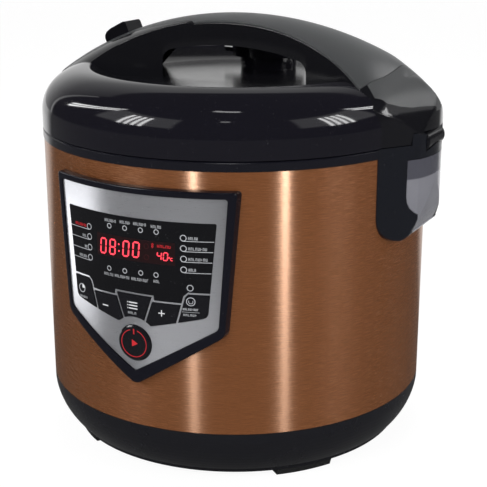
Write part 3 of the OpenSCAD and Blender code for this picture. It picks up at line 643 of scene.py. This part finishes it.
SHOULDER_END = next(x / 20 for x in range(-600, 0) if band_half(x / 20) >= half_width(x / 20))
left_xs = [-END_R * math.cos(math.radians(a)) for a in
           (0.6, 1.5, 3, 5, 7, 9, 11, 13, 15, 17, 19, 21, 23)]
strip_xs = left_xs + [-115 + 3 * i for i in range(76)] + [SHOULDER_END - 2 * STEP, SHOULDER_END]
strip_xs = sorted(x for x in set(strip_xs) if x < STRIP_END - 1) + [STRIP_END]
strip_loops = [cross_section(x, bend_of(x), strap_top,
                             lambda _, x, y: strap_top(x, y) - strip_depth(x), wide=band_half)
               for x in strip_xs]
piece("handle_strip", *rings(strip_loops), "strip", "lid", "strip_black",
      replaced=("handle_cover",))


def seat_top(x, y):
    """Top of the body: a seat for the strip, and full height beside its band."""
    band = band_half(x)
    beside = band < half_width(x) - SIDE_BAND and abs(y) > band + 0.15
    return strap_top(x, y) - (0 if beside else strip_depth(x) + 0.15)


GROOVE = 0.35
arch_xs = sorted(x for x in set(left_xs[1:] + [-115 + 3 * i for i in range(76)]
                                + [GAP_LEFT + d for d in (STEP, 0.6, 2, 4, 6, 8)]
                                + [GAP_RIGHT - d for d in (STEP, 0.6, 2, 4, 6, 8)]
                                + [GAP_LEFT - STEP, GAP_RIGHT + STEP]
                                + [SHOULDER_END - 2 * STEP, SHOULDER_END])
                 if x < STRIP_END - 1)
arch_loops = [cross_section(x, bend_of(x), seat_top, under, GROOVE, marks=True) for x in arch_xs]
arch_loops.append(cross_section(STRIP_END + 0.25, 1, seat_top, under, GROOVE, marks=True))
block_xs = [STRIP_END + 0.25 + 2 * STEP, 118, 120, 122, 124, 125.5, EAR_X - STEP, EAR_X + STEP,
            129, 131]
block_xs += [NOSE_X - NOSE_ROUND + NOSE_ROUND * math.cos(math.radians(a))
             for a in (32, 30, 28, 26, 24, 22, 20.5, 18, 15, 12, 9, 6, 4, 2.5, 1.2, 0.5)]
for x in block_xs:
    bent = 1 - smooth_step(x, STRIP_END, 126)
    arch_loops.append(cross_section(x, bent, strap_top, under, marks=True))
piece("handle_body", *rings(arch_loops), "arch", "lid", "lid_black", replaced=("handle_arch",))

# Knuckle of the hinge, with the web that joins it to the block
pin_x, pin_z, KNUCKLE_R, KNUCKLE_HALF = NOSE_X - 7, 209.0, 6.95, 14.9
knuckle = []
BORE_R, BEVEL = 2.7, 0.6
for y, r in ((-KNUCKLE_HALF, BORE_R), (-KNUCKLE_HALF, KNUCKLE_R - BEVEL),
             (-KNUCKLE_HALF + BEVEL, KNUCKLE_R), (KNUCKLE_HALF - BEVEL, KNUCKLE_R),
             (KNUCKLE_HALF, KNUCKLE_R - BEVEL), (KNUCKLE_HALF, BORE_R)):
    knuckle.append([(pin_x + r * math.cos(math.radians(a)), y,
                     pin_z + r * math.sin(math.radians(a))) for a in range(0, 360, 6)])
verts, faces = rings(knuckle + [knuckle[0]], closed_ends=False)
piece("hinge_knuckle", verts, faces, "arch", "lid", "lid_black")
web = [[(LID_R + 0.2, y, 210), (134.8, y, 209.4), (134.8, y, 217.4), (LID_R + 0.2, y, 217.4)]
       for y in (-KNUCKLE_HALF + 0.1, KNUCKLE_HALF - 0.1)]
piece("hinge_web", *rings(web), "arch", "lid", "lid_black")

# ------------------------------------------------------------------ panel helpers
def unit(v):
    n = math.hypot(*v)
    return v[0] / n, v[1] / n


def grow(line, d):
    """Outline moved outwards by d; the points run anticlockwise."""
    out = []
    for i, p in enumerate(line):
        a, b = line[i - 1], line[(i + 1) % len(line)]
        u, v = unit((p[0] - a[0], p[1] - a[1])), unit((b[0] - p[0], b[1] - p[1]))
        m = unit((u[1] + v[1], -u[0] - v[0]))
        k = d / (m[0] * u[1] - m[1] * u[0])
        out.append((p[0] + m[0] * k, p[1] + m[1] * k))
    return out


def rounded(line, radii, steps=5, edge_steps=None):
    """Outline with corner i rounded to radii[i], and edge i cut into edge_steps[i] parts."""
    corners = []
    for i, p in enumerate(line):
        a, b = line[i - 1], line[(i + 1) % len(line)]
        u, v = unit((a[0] - p[0], a[1] - p[1])), unit((b[0] - p[0], b[1] - p[1]))
        half = math.acos(u[0] * v[0] + u[1] * v[1]) / 2
        m = unit((u[0] + v[0], u[1] + v[1]))
        r = radii[i]
        cx, cy = p[0] + m[0] * r / math.sin(half), p[1] + m[1] * r / math.sin(half)
        fx, fy = p[0] + u[0] * r / math.tan(half) - cx, p[1] + u[1] * r / math.tan(half) - cy
        a0 = math.degrees(math.atan2(fy, fx))
        corners.append(arc(cx, cy, r, a0, a0 + 180 - 2 * math.degrees(half), steps))
    out = []
    for i, corner in enumerate(corners):
        out += corner
        if edge_steps:
            p, q = corner[-1], corners[(i + 1) % len(corners)][0]
            parts = edge_steps[i]
            out += [(p[0] + (q[0] - p[0]) * t / parts, p[1] + (q[1] - p[1]) * t / parts)
                    for t in range(1, parts)]
    return out


def cut_up(line, step=4.0):
    """Outline with its long edges cut, so that it can follow the drum."""
    out = []
    for i, p in enumerate(line):
        q = line[(i + 1) % len(line)]
        n = max(1, math.ceil(abs(q[0] - p[0]) / step))
        out += [(p[0] + (q[0] - p[0]) * t / n, p[1] + (q[1] - p[1]) * t / n) for t in range(n)]
    return out


def inside(x, y, lines):
    odd = False
    for line in lines:
        for i, (x1, y1) in enumerate(line):
            x0, y0 = line[i - 1]
            if (y0 > y) != (y1 > y) and x < x0 + (y - y0) * (x1 - x0) / (y1 - y0):
                odd = not odd
    return odd


def filled(lines, step=4.0):
    """Points and triangles that fill the area between outlines, fine enough to be bent."""
    points, edges = [], []
    for line in lines:
        n = len(points)
        points += line
        edges += [(n + i, n + (i + 1) % len(line)) for i in range(len(line))]
    rim = len(points)
    x0, x1 = min(p[0] for p in points), max(p[0] for p in points)
    y0, y1 = min(p[1] for p in points), max(p[1] for p in points)
    if x1 - x0 > 1.5 * step:
        for i in range(1, math.ceil((x1 - x0) / step)):
            for k in range(1, math.ceil((y1 - y0) / step)):
                p = (x0 + i * step, y0 + k * step)
                near = min(math.hypot(p[0] - q[0], p[1] - q[1]) for q in points[:rim])
                if near > 0.4 * step and inside(*p, lines):
                    points.append(p)
    flat, _, tris, sources = delaunay_2d_cdt([Vector(p) for p in points], edges, [], 0, 1e-6)[:4]
    flat = [tuple(p) for p in flat]
    keep = [t for t in tris
            if inside(sum(flat[i][0] for i in t) / 3, sum(flat[i][1] for i in t) / 3, lines)]
    place = {given: i for i, source in enumerate(sources) for given in source}
    return flat, [tuple(t) for t in keep], place


def slab(shapes, back, front):
    """Closed solids between two surfaces, one for each shape; a shape is a list of outlines."""
    verts, faces = [], []
    for lines in shapes:
        lines = [cut_up(line) for line in lines]
        flat, tris, place = filled(lines)
        n, m, first = len(verts), len(flat), 0
        verts += [back(*p) for p in flat] + [front(*p) for p in flat]
        faces += [tuple(n + i for i in reversed(t)) for t in tris]
        faces += [tuple(n + m + i for i in t) for t in tris]
        for line in lines:
            ids = [place[first + i] for i in range(len(line))]
            first += len(line)
            for i, a in enumerate(ids):
                b = ids[(i + 1) % len(ids)]
                faces.append((n + a, n + b, n + m + b, n + m + a))
    return verts, faces


def drum(r):
    return lambda x, z: (x, -math.sqrt(r * r - x * x), z)


def disc(x, z, r, steps=28):
    return arc(x, z, r, 0, 360 - 360 / steps, steps - 1)


def hoop(x, z, r, w):
    return [disc(x, z, r + w / 2), disc(x, z, r - w / 2)]


def stroke(points, w):
    """Outline of a band of width w along open points, with mitred bends."""
    left, right = [], []
    for i, p in enumerate(points):
        a = points[max(i - 1, 0)] if i else p
        b = points[min(i + 1, len(points) - 1)]
        ways = [unit((q[0] - r[0], q[1] - r[1])) for r, q in ((a, p), (p, b)) if r != q]
        m = unit((sum(-v[1] for v in ways), sum(v[0] for v in ways)))
        k = w / 2 / max(0.35, m[0] * -ways[0][1] + m[1] * ways[0][0])
        left.append((p[0] + m[0] * k, p[1] + m[1] * k))
        right.append((p[0] - m[0] * k, p[1] - m[1] * k))
    return [left + right[::-1]]


def open_hoop(x, z, r, w, a0, a1, steps=40):
    return [arc(x, z, r + w / 2, a0, a1, steps) + arc(x, z, r - w / 2, a1, a0, steps)]


def bar(x0, z0, x1, z1):
    return [[(x0, z0), (x1, z0), (x1, z1), (x0, z1)]]


# ------------------------------------------------------------------ control panel
PLATE_FACE = PANEL_R - 1.0
WINDOW_FACE = PLATE_FACE + 0.1
KEY_FACE = PANEL_R - 0.4
TRAY_R = SHELL_R + 2.5
PLATE_BACK = PANEL_R - 2.1
START_Z = 94.2
PRINT = 0.07
FRAME_LINE = [(-62.2, 191.6), (-55.4, 103.1), (0, 66.9), (55.4, 103.1), (62.2, 191.6)]
PLATE_LINE = [(-57.3, 187.5), (-52, 107.6), (0, 76.3), (52, 107.6), (57.3, 187.5)]
FRAME_ROUND, PLATE_ROUND = (2, 7, 6, 7, 2), (1.5, 4.5, 3, 4.5, 1.5)
EDGE_STEPS = (8, 18, 18, 8, 32)


def frame_loop(d, r):
    line = rounded(grow(FRAME_LINE, d), [q + d for q in FRAME_ROUND], 8, EDGE_STEPS)
    return [drum(r)(*p) for p in line]


def plate_loop(d, r):
    line = rounded(grow(PLATE_LINE, d), [q + d for q in PLATE_ROUND], 8, EDGE_STEPS)
    return [drum(r)(*p) for p in line]


def rounding(r, steps=4):
    """Inset and drop of points round a quarter circle, from the wall to the face."""
    return [(r * (1 - math.cos(math.radians(90 * i / steps))),
             r * (1 - math.sin(math.radians(90 * i / steps)))) for i in range(steps + 1)]


bezel_loops = [frame_loop(0, SHELL_R + 0.1)]
bezel_loops += [frame_loop(-inset, PANEL_R - drop) for inset, drop in rounding(1.1)]
bezel_loops += [plate_loop(0.2 + inset, PANEL_R - drop)
                for inset, drop in reversed(rounding(0.5, 3))]
bezel_loops += [plate_loop(0.2, TRAY_R)]
verts, faces = rings(bezel_loops, closed_ends=False)
for loop, r, turn in ((bezel_loops[0], SHELL_R + 0.1, -1), (bezel_loops[-1], TRAY_R, 1)):
    flat, tris, _ = filled([[(p[0], p[2]) for p in loop]])
    base = len(verts)
    verts += [drum(r)(*p) for p in flat]
    faces += [tuple(base + i for i in t[::turn]) for t in tris]
piece("bezel_frame", verts, faces, "bezel", "base", "bezel_black", 30, replaced=("panel_bezel",))


def printed(name, shapes, material, body="base", face=WINDOW_FACE, slot="window_black"):
    """Thin raised print on the curved panel."""
    return piece(name, *slab(shapes, drum(face - 0.02), drum(face + PRINT)), material, body, slot)


# Indicator rings, with the rules that run from them to the edge of the window
LEFT_ZS, RIGHT_ZS = (162.2, 155.8, 149.1, 142.6), (163.7, 157.4, 151, 144.4)
LEFT_RING_X, RIGHT_RING_X = -33.0, 32.6
RING_R, RING_W, RULE_W = 1.75, 0.5, 0.4
SMALL_R, SMALL_W = 1.4, 0.5
indicator = [hoop(LEFT_RING_X, z, RING_R, RING_W) for z in LEFT_ZS]
indicator += [hoop(RIGHT_RING_X, z, RING_R, RING_W) for z in RIGHT_ZS]
indicator += [hoop(x, z, SMALL_R, SMALL_W) for x, z in (
    (-16.4, 165.6), (-5.0, 165.8), (5.9, 166.0), (16.2, 166.0),
    (-17.5, 138.8), (-5.8, 139.1), (5.4, 139.5), (15.5, 139.5))]
indicator += [hoop(36.2, 133.3, RING_R, RING_W)]
printed("window_rings", indicator, "rule")


def window_edge(z):
    """Half width of the window at a height."""
    return 46.2 + (z - 115) * 5.2 / 58


rules = [stroke([(-window_edge(z - 1.5) + 0.4, z - RING_R - 0.2),
                 (LEFT_RING_X, z - RING_R - 0.2)], RULE_W) for z in LEFT_ZS]
rules += [stroke([(RIGHT_RING_X, z - RING_R - 0.1),
                  (window_edge(z - 1.5) - 0.4, z - RING_R + 0.1)], RULE_W) for z in RIGHT_ZS]
printed("window_rules", rules, "rule")


def mark_row(x0, z, x1, cells, tall=1.8):
    """Row of plain letter-like marks where a label is printed: uprights with a bar or two."""
    out, width = [], (x1 - x0) / cells
    w, t = width * 0.72, min(0.3, width * 0.3)
    for i in range(cells):
        x = x0 + i * width
        out.append(bar(x, z, x + t, z + tall))
        if i % 3 != 2:
            out.append(bar(x + w - t, z, x + w, z + tall))
        level = z + (tall - t) * (0.5, 1.0, 0.0, 1.0, 0.0)[i % 5]
        out.append(bar(x + t, level, x + w - (0 if i % 3 == 2 else t), level + t))
    return out


labels = mark_row(-39.2, LEFT_ZS[1] - 1.1, -35.4, 3) + mark_row(-37.6, LEFT_ZS[2] - 1.1, -35.4, 2)
labels += mark_row(-42.8, LEFT_ZS[3] - 1.0, -35.4, 6)
for z, x1, cells in zip(RIGHT_ZS, (41.2, 46.4, 46.6, 40.0), (5, 8, 8, 4)):
    labels += mark_row(35.4, z - 0.9, x1, cells)
for x0, x1, cells, z in ((-19.8, -11.0, 7, 168.0), (-8.4, -0.6, 6, 168.4), (1.2, 10.0, 7, 168.6),
                         (12.8, 19.6, 5, 168.2)):
    labels += mark_row(x0, z, x1, cells)
for x0, x1, cells, z in ((-21.6, -14.2, 5, 134.1), (-13.4, -2.4, 8, 134.2), (-1.2, 10.6, 9, 134.2),
                         (13.8, 18.0, 3, 134.6)):
    labels += mark_row(x0, z, x1, cells)
printed("window_marks", labels, "print")
printed("window_marks_red", mark_row(-45.6, LEFT_ZS[0] - 0.9, -35.4, 8), "red")

# LED display: a dim field, clock digits, and the temperature
LED_Z0, LED_Z1 = 146.2, 160.2
SLANT = 0.09


def seven(x, z, w, h, t, lit):
    """Segments of a digit; lit names them a to g."""
    mid, g = h / 2, 0.18 * t
    lines = {
        "a": (t / 2 + g, h - t / 2, w - t / 2 - g, h - t / 2),
        "d": (t / 2 + g, t / 2, w - t / 2 - g, t / 2),
        "g": (t / 2 + g, mid, w - t / 2 - g, mid),
        "f": (t / 2, mid + g, t / 2, h - t / 2 - g),
        "b": (w - t / 2, mid + g, w - t / 2, h - t / 2 - g),
        "e": (t / 2, t / 2 + g, t / 2, mid - g),
        "c": (w - t / 2, t / 2 + g, w - t / 2, mid - g)}
    out = []
    for key in lit:
        x0, z0, x1, z1 = lines[key]
        if z0 == z1:
            shape = [(x0, z0), (x0 + t / 2, z0 - t / 2), (x1 - t / 2, z0 - t / 2), (x1, z0),
                     (x1 - t / 2, z0 + t / 2), (x0 + t / 2, z0 + t / 2)]
        else:
            shape = [(x0, z0), (x0 + t / 2, z0 + t / 2), (x0 + t / 2, z1 - t / 2), (x0, z1),
                     (x0 - t / 2, z1 - t / 2), (x0 - t / 2, z0 + t / 2)]
        out.append([[(x + px + SLANT * pz, z + pz) for px, pz in shape]])
    return out


ZERO, EIGHT, FOUR = "abcdef", "abcdefg", "bcfg"
CLOCK, CLOCK_Z, CLOCK_W, CLOCK_H, CLOCK_RISE = (-24.4, -17.3, -7.4, -0.4), 147.9, 4.9, 10.2, 0.045
digits, unlit = [], []
for x, lit in zip(CLOCK, (ZERO, EIGHT, ZERO, ZERO)):
    z = CLOCK_Z + CLOCK_RISE * (x + 12)
    digits += seven(x, z, CLOCK_W, CLOCK_H, 1.0, lit)
    if lit == ZERO:
        unlit += seven(x, z, CLOCK_W, CLOCK_H, 0.8, "g")
digits += [[disc(-9.6, z, 0.55, 12)] for z in (151.0, 155.2)]
for x, lit in ((16.0, FOUR), (19.9, ZERO)):
    digits += seven(x, 148.8, 3.2, 5.4, 0.65, lit)
digits += [hoop(24.0, 151.0, 0.42, 0.3)]
digits += [open_hoop(25.6, 150.1, 0.8, 0.38, 55, 305, 12)]
printed("led_digits", digits, "led", face=WINDOW_FACE + 0.03)
unlit += seven(19.9, 148.8, 3.2, 5.4, 0.55, "g")
unlit += [hoop(9.4, z, 1.5, 0.45) for z in (149.8, 156.6)]
printed("led_dim", unlit, "dim", face=WINDOW_FACE + 0.03)
warm = mark_row(16.6, 156.6, 25.4, 5, 1.7) + seven(12.8, 156.0, 1.3, 3.0, 0.45, "abcdefg")
printed("led_soft", warm, "soft", face=WINDOW_FACE + 0.03)
printed("led_haze", [bar(-26.5, LED_Z0, 27.6, LED_Z1)], "ghost", face=WINDOW_FACE - 0.05)


def on_key(name, body, shapes, material="rule"):
    printed(name, shapes, material, body, KEY_FACE, "key_black")


# Key symbols
TIMER_X, TIMER_Z, TIMER_R = -41.4, 121.1, 2.6
on_key("symbol_timer", "timer_key", [open_hoop(TIMER_X, TIMER_Z, TIMER_R, 0.6, 82, 378, 30)])
on_key("symbol_timer_slice", "timer_key",
       [[[(TIMER_X + 0.3, TIMER_Z + 0.3)] + arc(TIMER_X + 0.3, TIMER_Z + 0.3, TIMER_R, 0, 90, 10)]],
       "print_bright")
on_key("symbol_timer_mark", "timer_key", mark_row(-43.4, 115.0, -36.6, 7, 1.4), "print")
on_key("symbol_minus", "minus_key", [bar(-23.4, 114.2, -19.0, 115.0)], "print_bright")
MENU_ZS = (116.0, 117.9, 119.8)
on_key("symbol_menu", "menu_key", [bar(-3.4, z, 2.8, z + 0.7) for z in MENU_ZS]
       + [bar(-4.4, z, -3.9, z + 0.7) for z in MENU_ZS], "print_bright")
on_key("symbol_menu_mark", "menu_key", mark_row(-4.0, 112.6, 2.2, 4, 1.6), "print")
PLUS_X, PLUS_Z, PLUS_ARM, PLUS_T = 18.8, 116.0, 2.0, 0.32
plus = [(PLUS_X + a * PLUS_ARM + b * PLUS_T, PLUS_Z + c * PLUS_ARM + d * PLUS_T) for a, b, c, d in (
    (-1, 0, 0, -1), (0, -1, 0, -1), (0, -1, -1, 0), (0, 1, -1, 0), (0, 1, 0, -1), (1, 0, 0, -1),
    (1, 0, 0, 1), (0, 1, 0, 1), (0, 1, 1, 0), (0, -1, 1, 0), (0, -1, 0, 1), (-1, 0, 0, 1))]
on_key("symbol_plus", "plus_key", [[plus]], "print_bright")
CANCEL_X, CANCEL_Z = 36.7, 125.0
on_key("symbol_cancel", "cancel_key", [hoop(CANCEL_X, CANCEL_Z, 2.5, 0.45),
                                       open_hoop(CANCEL_X, CANCEL_Z, 1.3, 0.35, 150, 390, 16)])
on_key("symbol_cancel_marks", "cancel_key", mark_row(31.9, 119.4, 41.4, 9, 1.4)
       + mark_row(32.2, 115.8, 40.4, 6, 1.4) + [bar(31.4, 118.2, 41.8, 118.45)], "print")

# Start button: red ring with a gap at the top, a tick in it, and a play mark
START_FACE = PLATE_BACK + 2.0
START_LIP, START_LIP_R = 0.4, 10.5
START_PRINT = 0.035  # thinner than PRINT: the ring stays behind the button's rim


def start_face(lift):
    def place(x, z):
        r = math.hypot(x, z - START_Z)
        return x, -(START_FACE + START_LIP * min(r / START_LIP_R, 1) + lift), z
    return place


def on_start(name, shapes, material="red"):
    piece(name, *slab(shapes, start_face(-0.02), start_face(START_PRINT)), material, "start",
          "key_black")


on_start("symbol_start_ring", [open_hoop(0, START_Z, 8.7, 0.55, 106, 434, 64)])
on_start("symbol_start_tick", [bar(-0.45, START_Z + 5.8, 0.45, START_Z + 9.3)])
on_start("symbol_start_play",
         [[[(-1.6, START_Z - 2.3), (2.6, START_Z), (-1.6, START_Z + 2.3)]]], "soft")

# ------------------------------------------------------------------ floor, lamps, world
FLOOR_SIZE = 4.0
floor_mesh = bpy.data.meshes.new("floor")
floor_mesh.from_pydata([(x * FLOOR_SIZE, y * FLOOR_SIZE, 0)
                        for x, y in ((-1, -1), (1, -1), (1, 1), (-1, 1))], [], [(0, 1, 2, 3)])
floor = bpy.data.objects.new("floor", floor_mesh)
bpy.context.scene.collection.objects.link(floor)
floor_material, floor_tree, floor_shader = new_material("floor_white")
floor_shader.inputs["Base Color"].default_value = (0.82, 0.82, 0.82, 1)
floor_shader.inputs["Roughness"].default_value = 0.8

TO_CAMERA = (math.sin(CAM_AZIMUTH), -math.cos(CAM_AZIMUTH), 0.0)
TO_RIGHT = (math.cos(CAM_AZIMUTH), math.sin(CAM_AZIMUTH), 0.0)


def dot(tree, vector, fixed):
    node = tree.nodes.new("ShaderNodeVectorMath")
    node.operation = "DOT_PRODUCT"
    tree.set(node, "i0", vector)
    node.inputs[1].default_value = fixed
    return node.outputs["Value"]


def smooth_window(tree, value, low, high, soft):
    """1 between low and high, falling to 0 over the distance soft outside."""
    rise = tree.ramp(value, 0, 1, low - soft, low)
    fall = tree.ramp(value, 1, 0, high, high + soft)
    return tree.math("MULTIPLY", rise, fall)


# The floor is white to the camera and in reflections behind the object, and dark in front of it.
place = floor_tree.nodes.new("ShaderNodeNewGeometry").outputs["Position"]
offset = floor_tree.nodes.new("ShaderNodeVectorMath")
offset.operation = "SUBTRACT"
floor_tree.set(offset, "i0", place)
offset.inputs[1].default_value = (AXIS.x, AXIS.y, 0)
unit_offset = floor_tree.nodes.new("ShaderNodeVectorMath")
unit_offset.operation = "NORMALIZE"
floor_tree.set(unit_offset, "i0", offset.outputs["Vector"])
front_side = dot(floor_tree, unit_offset.outputs["Vector"], TO_CAMERA)
mirrored = floor_tree.ramp(front_side, 1.0, 0.12, -0.78, -0.66)
path = floor_tree.nodes.new("ShaderNodeLightPath")
seen = floor_tree.math("MAXIMUM", path.outputs["Is Camera Ray"],
                       path.outputs["Is Transmission Ray"])
FLOOR_GLOW = 1.09  # lifts the floor to the white of the background
white = floor_tree.add("ShaderNodeEmission", Color=(1, 1, 1, 1),
                       Strength=floor_tree.ramp(seen, 1.0, FLOOR_GLOW))
gloss = floor_tree.math("MULTIPLY", path.outputs["Is Glossy Ray"], mirrored)
level = floor_tree.math("MAXIMUM", floor_tree.math("MULTIPLY", seen, 0.86), gloss)
black = floor_tree.add("ShaderNodeEmission", Color=(0, 0, 0, 1), Strength=0.0)
under_gloss = floor_tree.nodes.new("ShaderNodeMixShader")
floor_tree.set(under_gloss, "i0", path.outputs["Is Glossy Ray"])
floor_tree.links.new(floor_shader.outputs[0], under_gloss.inputs[1])
floor_tree.links.new(black.outputs[0], under_gloss.inputs[2])
mixer = floor_tree.nodes.new("ShaderNodeMixShader")
floor_tree.set(mixer, "i0", level)
floor_tree.links.new(under_gloss.outputs[0], mixer.inputs[1])
floor_tree.links.new(white.outputs[0], mixer.inputs[2])
floor_tree.links.new(mixer.outputs[0], floor_tree.nodes["Material Output"].inputs["Surface"])
floor_mesh.materials.append(floor_material)

# Studio seen in reflections, by azimuth from the camera's side and by elevation, in degrees:
# a white backdrop behind the object, banks of tubes at both sides, and a dark room in front.
world = bpy.data.worlds.new("studio")
bpy.context.scene.world = world
world.use_nodes = True
sky = Tree(world)
look = sky.add("ShaderNodeTexCoord").outputs["Generated"]
azimuth = sky.math("ARCTAN2", dot(sky, look, TO_RIGHT), dot(sky, look, TO_CAMERA))
azimuth = sky.math("MULTIPLY", azimuth, 180 / math.pi)
elevation = sky.math("MULTIPLY", sky.math("ARCSINE", dot(sky, look, (0, 0, 1))), 180 / math.pi)
aside = sky.math("ABSOLUTE", azimuth)


def window(az0, az1, el0, el1, level, soft=1.5, across=None, tilt=0.0):
    """Lit rectangle; tilt raises its height by so many degrees for each degree of azimuth."""
    side = across or azimuth
    up = elevation
    if tilt:
        rise = sky.math("MULTIPLY", sky.math("SUBTRACT", side, az0), tilt)
        up = sky.math("SUBTRACT", elevation, rise)
    box = sky.math("MULTIPLY", smooth_window(sky, side, az0, az1, soft),
                   smooth_window(sky, up, el0, el1, soft))
    return sky.math("MULTIPLY", box, level)


BACKDROP = 0.8
backdrop = window(139, 181, -91, 44, BACKDROP, 2.5, aside)
backdrop = sky.math("MULTIPLY", backdrop, sky.ramp(elevation, 1.0, 0.5, 12, 26))
backdrop = sky.math("MULTIPLY", backdrop, sky.ramp(aside, 0.4, 1.0, 140, 168))
lights = [backdrop, window(134.5, 136.5, -30, 40, 0.8, 0.8, aside)]
lights += [window(a, a + 1.8, 21, 42, 14.0, 0.8, aside) for a in (58, 63, 68, 73)]
lights += [window(40, 92, 24, 45, 0.7, 3.0, aside)]
lights += [window(93, 122, h, h + 1.6, 13.0, 0.8, aside, -0.84) for h in (42.5, 47)]
lights += [window(-10, -5, 47, 48.5, 3.5), window(-39, 7, 77, 79, 6.0)]
total = lights[0]
for light in lights[1:]:
    total = sky.math("ADD", total, light)
room = sky.math("ADD", total, 0.03)
world_path = sky.nodes.new("ShaderNodeLightPath")
DIFFUSE_SKY = 0.42
lit = sky.math("MULTIPLY", world_path.outputs["Is Diffuse Ray"], DIFFUSE_SKY)
clear = sky.math("MAXIMUM", world_path.outputs["Is Camera Ray"],
                 world_path.outputs["Is Transmission Ray"])
studio = sky.math("MULTIPLY", room, world_path.outputs["Is Glossy Ray"])
level = sky.math("MAXIMUM", sky.math("MAXIMUM", studio, lit), clear)
sky.set(sky.nodes["Background"], "Strength", level)
sky.nodes["Background"].inputs["Color"].default_value = (1, 1, 1, 1)


def lamp(name, azimuth_deg, out, up, width, tall, power, target=(0, 0, 140), glossy=True, only=()):
    """Soft box; azimuth is in degrees from the camera's own side, positive to the right."""
    data = bpy.data.lights.new(name, "AREA")
    data.shape = "RECTANGLE"
    data.size, data.size_y = width * MM, tall * MM
    data.energy = power
    a = CAM_AZIMUTH + math.radians(azimuth_deg)
    obj = bpy.data.objects.new(name, data)
    obj.location = at(out * math.sin(a), -out * math.cos(a), up)
    obj.rotation_euler = (at(*target) - obj.location).to_track_quat("-Z", "Y").to_euler()
    bpy.context.scene.collection.objects.link(obj)
    obj.visible_glossy = glossy
    if only:
        group = bpy.data.collections.new(name + "_receivers")
        for node in only:
            made = node in bpy.data.objects
            group.objects.link(bpy.data.objects[node] if made else NODES[node])
        obj.light_linking.receiver_collection = group
    return obj


lamp("stripe_left", -23.0, 1300, 300, 55, 900, 9.5, only=("outer_shell",))
lamp("stripe_right", 26.4, 1300, 300, 55, 900, 10.5, only=("outer_shell",))
lamp("plate_side", -91, 410, 50, 300, 120, 0.34, (-15, -124, 130), True, ("panel_plate",))
lamp("plate_low", -24, 390, 3, 240, 240, 0.12, (30, -390, 400), True, ("panel_plate",))
lamp("strip_side", 110, 900, 900, 500, 500, 5, (40, 0, 270), True, ("handle_strip",))
lamp("key", -35, 1300, 900, 700, 700, 10, glossy=False)
lamp("fill", 60, 1300, 700, 700, 700, 6, glossy=False)
lamp("back", 175, 900, 1200, 900, 700, 8, glossy=False)
